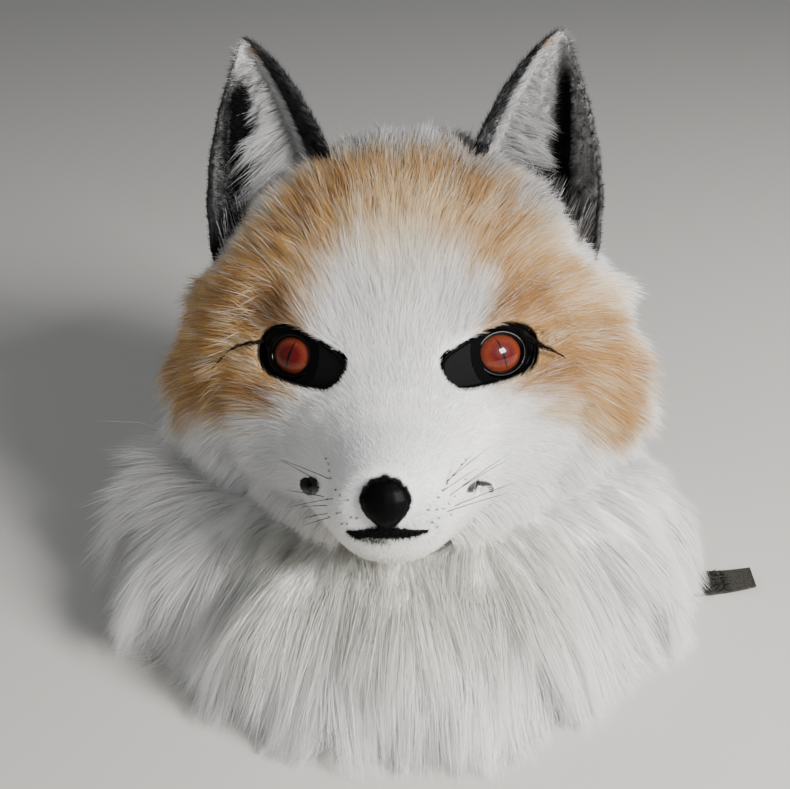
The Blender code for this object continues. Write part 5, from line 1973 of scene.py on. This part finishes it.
class FURSUIT_OT_closure_tab(bpy.types.Operator):
    """Adds the dark mesh tab that lies under the ruff"""
    bl_idname = "fursuit.closure_tab"
    bl_label = "Closure tab"

    def execute(self, context):
        tab = copy_of("closure_tab", "tab_web")
        material, nodes, links = new_material("Tab web")
        shader = principled(nodes, srgb(*TAB_CLOTH), 0.75, specular_ior_level=0.2)
        where = nodes.new("ShaderNodeTexCoord")
        place = added(nodes, "Mapping", Rotation=(0.0, 0.0, math.radians(40.0)))
        threads = {key: plain(srgb(*colour)) for key, colour in TAB_THREADS.items()}
        weave = added(nodes, "TexBrick", Scale=420.0, **threads)
        links.new(where.outputs["Object"], place.inputs["Vector"])
        links.new(place.outputs["Vector"], weave.inputs["Vector"])
        links.new(weave.outputs["Color"], shader.inputs["Base Color"])
        surface_from(shader, nodes, links)
        seated(tab, "tab_mesh", material, "closure_tab")
        rng = np.random.default_rng(71)
        middle = vertex_values(tab, "co").mean(0)

        def keep(points, normals):
            return ((normals[:, 2] > 0.3) & (points[:, 0] < middle[0] + 0.008)).astype(float)

        count = FUZZ_HAIRS
        points, normals = rooted(tab, count, rng, keep)
        directions = unit(rng.normal(0.0, 0.45, (count, 3)) + (0.9, 0.0, 0.35))
        lines = paths(points, directions, rng.uniform(0.003, 0.009, count), 0.3, 3)
        lines[:, :, 2] = np.maximum(lines[:, :, 2], 0.0008)
        fuzz = strand_piece("tab_fuzz", lines, FUZZ_HAIR, srgb(*FUZZ_BLACK), rng)
        seated(fuzz, "tab_mesh", dark_hair_material())
        return {"FINISHED"}


def blacken_sockets(material):
    """Black paint on the edges of the eye sockets."""
    nodes, links = material.node_tree.nodes, material.node_tree.links
    shader = next(node for node in nodes if node.type == "BSDF_PRINCIPLED")
    where = nodes.new("ShaderNodeTexCoord")
    nearest = nodes.new("ShaderNodeMath")
    nearest.operation = "MINIMUM"
    for index, side in enumerate(SIDES.values()):
        gap = nodes.new("ShaderNodeVectorMath")
        gap.operation = "DISTANCE"
        gap.inputs[1].default_value = eye_to_row((-0.007, 0.0, 0.0), side)
        links.new(where.outputs["Object"], gap.inputs[0])
        links.new(gap.outputs["Value"], nearest.inputs[index])
    mask = added(nodes, "MapRange", From_Min=SOCKET_PAINT[0], From_Max=SOCKET_PAINT[1])
    paint = nodes.new("ShaderNodeMix")
    paint.data_type = "RGBA"
    paint.inputs[6].default_value = plain(srgb(*SOCKET_BLACK))
    links.new(nearest.outputs[0], mask.inputs["Value"])
    links.new(mask.outputs["Result"], paint.inputs["Factor"])
    links.new(shader.inputs["Base Color"].links[0].from_socket, paint.inputs[7])
    links.new(paint.outputs[2], shader.inputs["Base Color"])


class FURSUIT_OT_shell(bpy.types.Operator):
    """Gives the moulded shell its finish"""
    bl_idname = "fursuit.shell"
    bl_label = "Moulded shell"

    def execute(self, context):
        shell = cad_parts["head_base"]
        finish = gloss_material("Moulded shell", srgb(*SHELL_WHITE), 0.6)
        blacken_sockets(finish)
        shell.data.materials.clear()
        shell.data.materials.append(finish)
        return {"FINISHED"}


# Stage

def floor_material(colour):
    """Plain, even floor."""
    material, nodes, links = new_material("Floor")
    surface_from(principled(nodes, colour, 0.85, specular_ior_level=0.2), nodes, links)
    return material


def soft_light(name, place, size, power, colour):
    """A square soft light that looks at the head."""
    data = bpy.data.lights.new(name, "AREA")
    data.shape = "SQUARE"
    data.size = size
    data.energy = power
    data.color = colour
    light = linked(name, data)
    light.location = place
    way = Vector(LIGHT_TARGET) - light.location
    light.rotation_euler = way.to_track_quat("-Z", "Y").to_euler()
    return light


class FURSUIT_OT_stage(bpy.types.Operator):
    """Adds the floor, lights and camera"""
    bl_idname = "fursuit.stage"
    bl_label = "Stage"

    def execute(self, context):
        stage = context.scene.fursuit_stage
        bpy.ops.object.select_all(action="DESELECT")
        bpy.ops.mesh.primitive_plane_add(size=FLOOR_SIZE, location=(0.0, 0.0, 0.0))
        floor = settle(context.object, "floor")
        floor.data.materials.append(floor_material(stage.floor))
        key = soft_light("key_light", KEY_PLACE, KEY_SIZE, stage.key_power, KEY_COLOUR)
        fill = soft_light("fill_light", FILL_PLACE, FILL_SIZE, stage.fill_power, FILL_COLOUR)
        fill.visible_glossy = False
        world = bpy.data.worlds.new("Studio")
        world.use_nodes = True
        background = world.node_tree.nodes["Background"]
        background.inputs["Color"].default_value = SKY_COLOUR
        background.inputs["Strength"].default_value = SKY_STRENGTH
        context.scene.world = world
        back = np.array((
            math.sin(CAMERA_TURN) * math.cos(CAMERA_PITCH),
            -math.cos(CAMERA_TURN) * math.cos(CAMERA_PITCH),
            math.sin(CAMERA_PITCH),
        ))
        right = unit(np.cross(-back, (0.0, 0.0, 1.0)))
        up = np.cross(right, -back)
        level_right = math.cos(CAMERA_ROLL) * right + math.sin(CAMERA_ROLL) * up
        level_up = -math.sin(CAMERA_ROLL) * right + math.cos(CAMERA_ROLL) * up
        matrix = Matrix.Identity(4)
        for column, axis in enumerate((level_right, level_up, back)):
            matrix.col[column][:3] = axis
        matrix.col[3][:3] = CAMERA_TARGET + back * CAMERA_DISTANCE
        data = bpy.data.cameras.new("Camera")
        data.sensor_width = CAMERA_SENSOR
        data.lens = CAMERA_LENS
        data.clip_start = 0.01
        camera = linked("Camera", data)
        camera.matrix_world = matrix
        context.scene.camera = camera
        return {"FINISHED"}


PIECE_OPERATORS = (
    FURSUIT_OT_shell,
    FURSUIT_OT_face,
    FURSUIT_OT_vents,
    FURSUIT_OT_hood,
    FURSUIT_OT_ruff,
    FURSUIT_OT_ears,
    FURSUIT_OT_ear_tufts,
    FURSUIT_OT_lids,
    FURSUIT_OT_irises,
    FURSUIT_OT_vision_panels,
    FURSUIT_OT_nose,
    FURSUIT_OT_lip,
    FURSUIT_OT_whiskers,
    FURSUIT_OT_lashes,
    FURSUIT_OT_closure_tab,
    FURSUIT_OT_stage,
)


class FURSUIT_PT_panel(bpy.types.Panel):
    """Lists the pieces of the fursuit head"""
    bl_label = "Fursuit head"
    bl_idname = "FURSUIT_PT_panel"
    bl_space_type = "VIEW_3D"
    bl_region_type = "UI"
    bl_category = "Fursuit"

    def draw(self, context):
        for operator in PIECE_OPERATORS:
            self.layout.operator(operator.bl_idname)


CLASSES = (CoatSettings, EyeSettings, StageSettings) + PIECE_OPERATORS + (FURSUIT_PT_panel,)


def register():
    for kind in CLASSES:
        bpy.utils.register_class(kind)
    bpy.types.Scene.fursuit_coat = bpy.props.PointerProperty(type=CoatSettings)
    bpy.types.Scene.fursuit_eyes = bpy.props.PointerProperty(type=EyeSettings)
    bpy.types.Scene.fursuit_stage = bpy.props.PointerProperty(type=StageSettings)


def unregister():
    del bpy.types.Scene.fursuit_stage
    del bpy.types.Scene.fursuit_eyes
    del bpy.types.Scene.fursuit_coat
    for kind in reversed(CLASSES):
        bpy.utils.unregister_class(kind)


def main():
    register()
    for operator in PIECE_OPERATORS:
        group, name = operator.bl_idname.split(".")
        getattr(getattr(bpy.ops, group), name)()


if __name__ == "__main__":
    main()
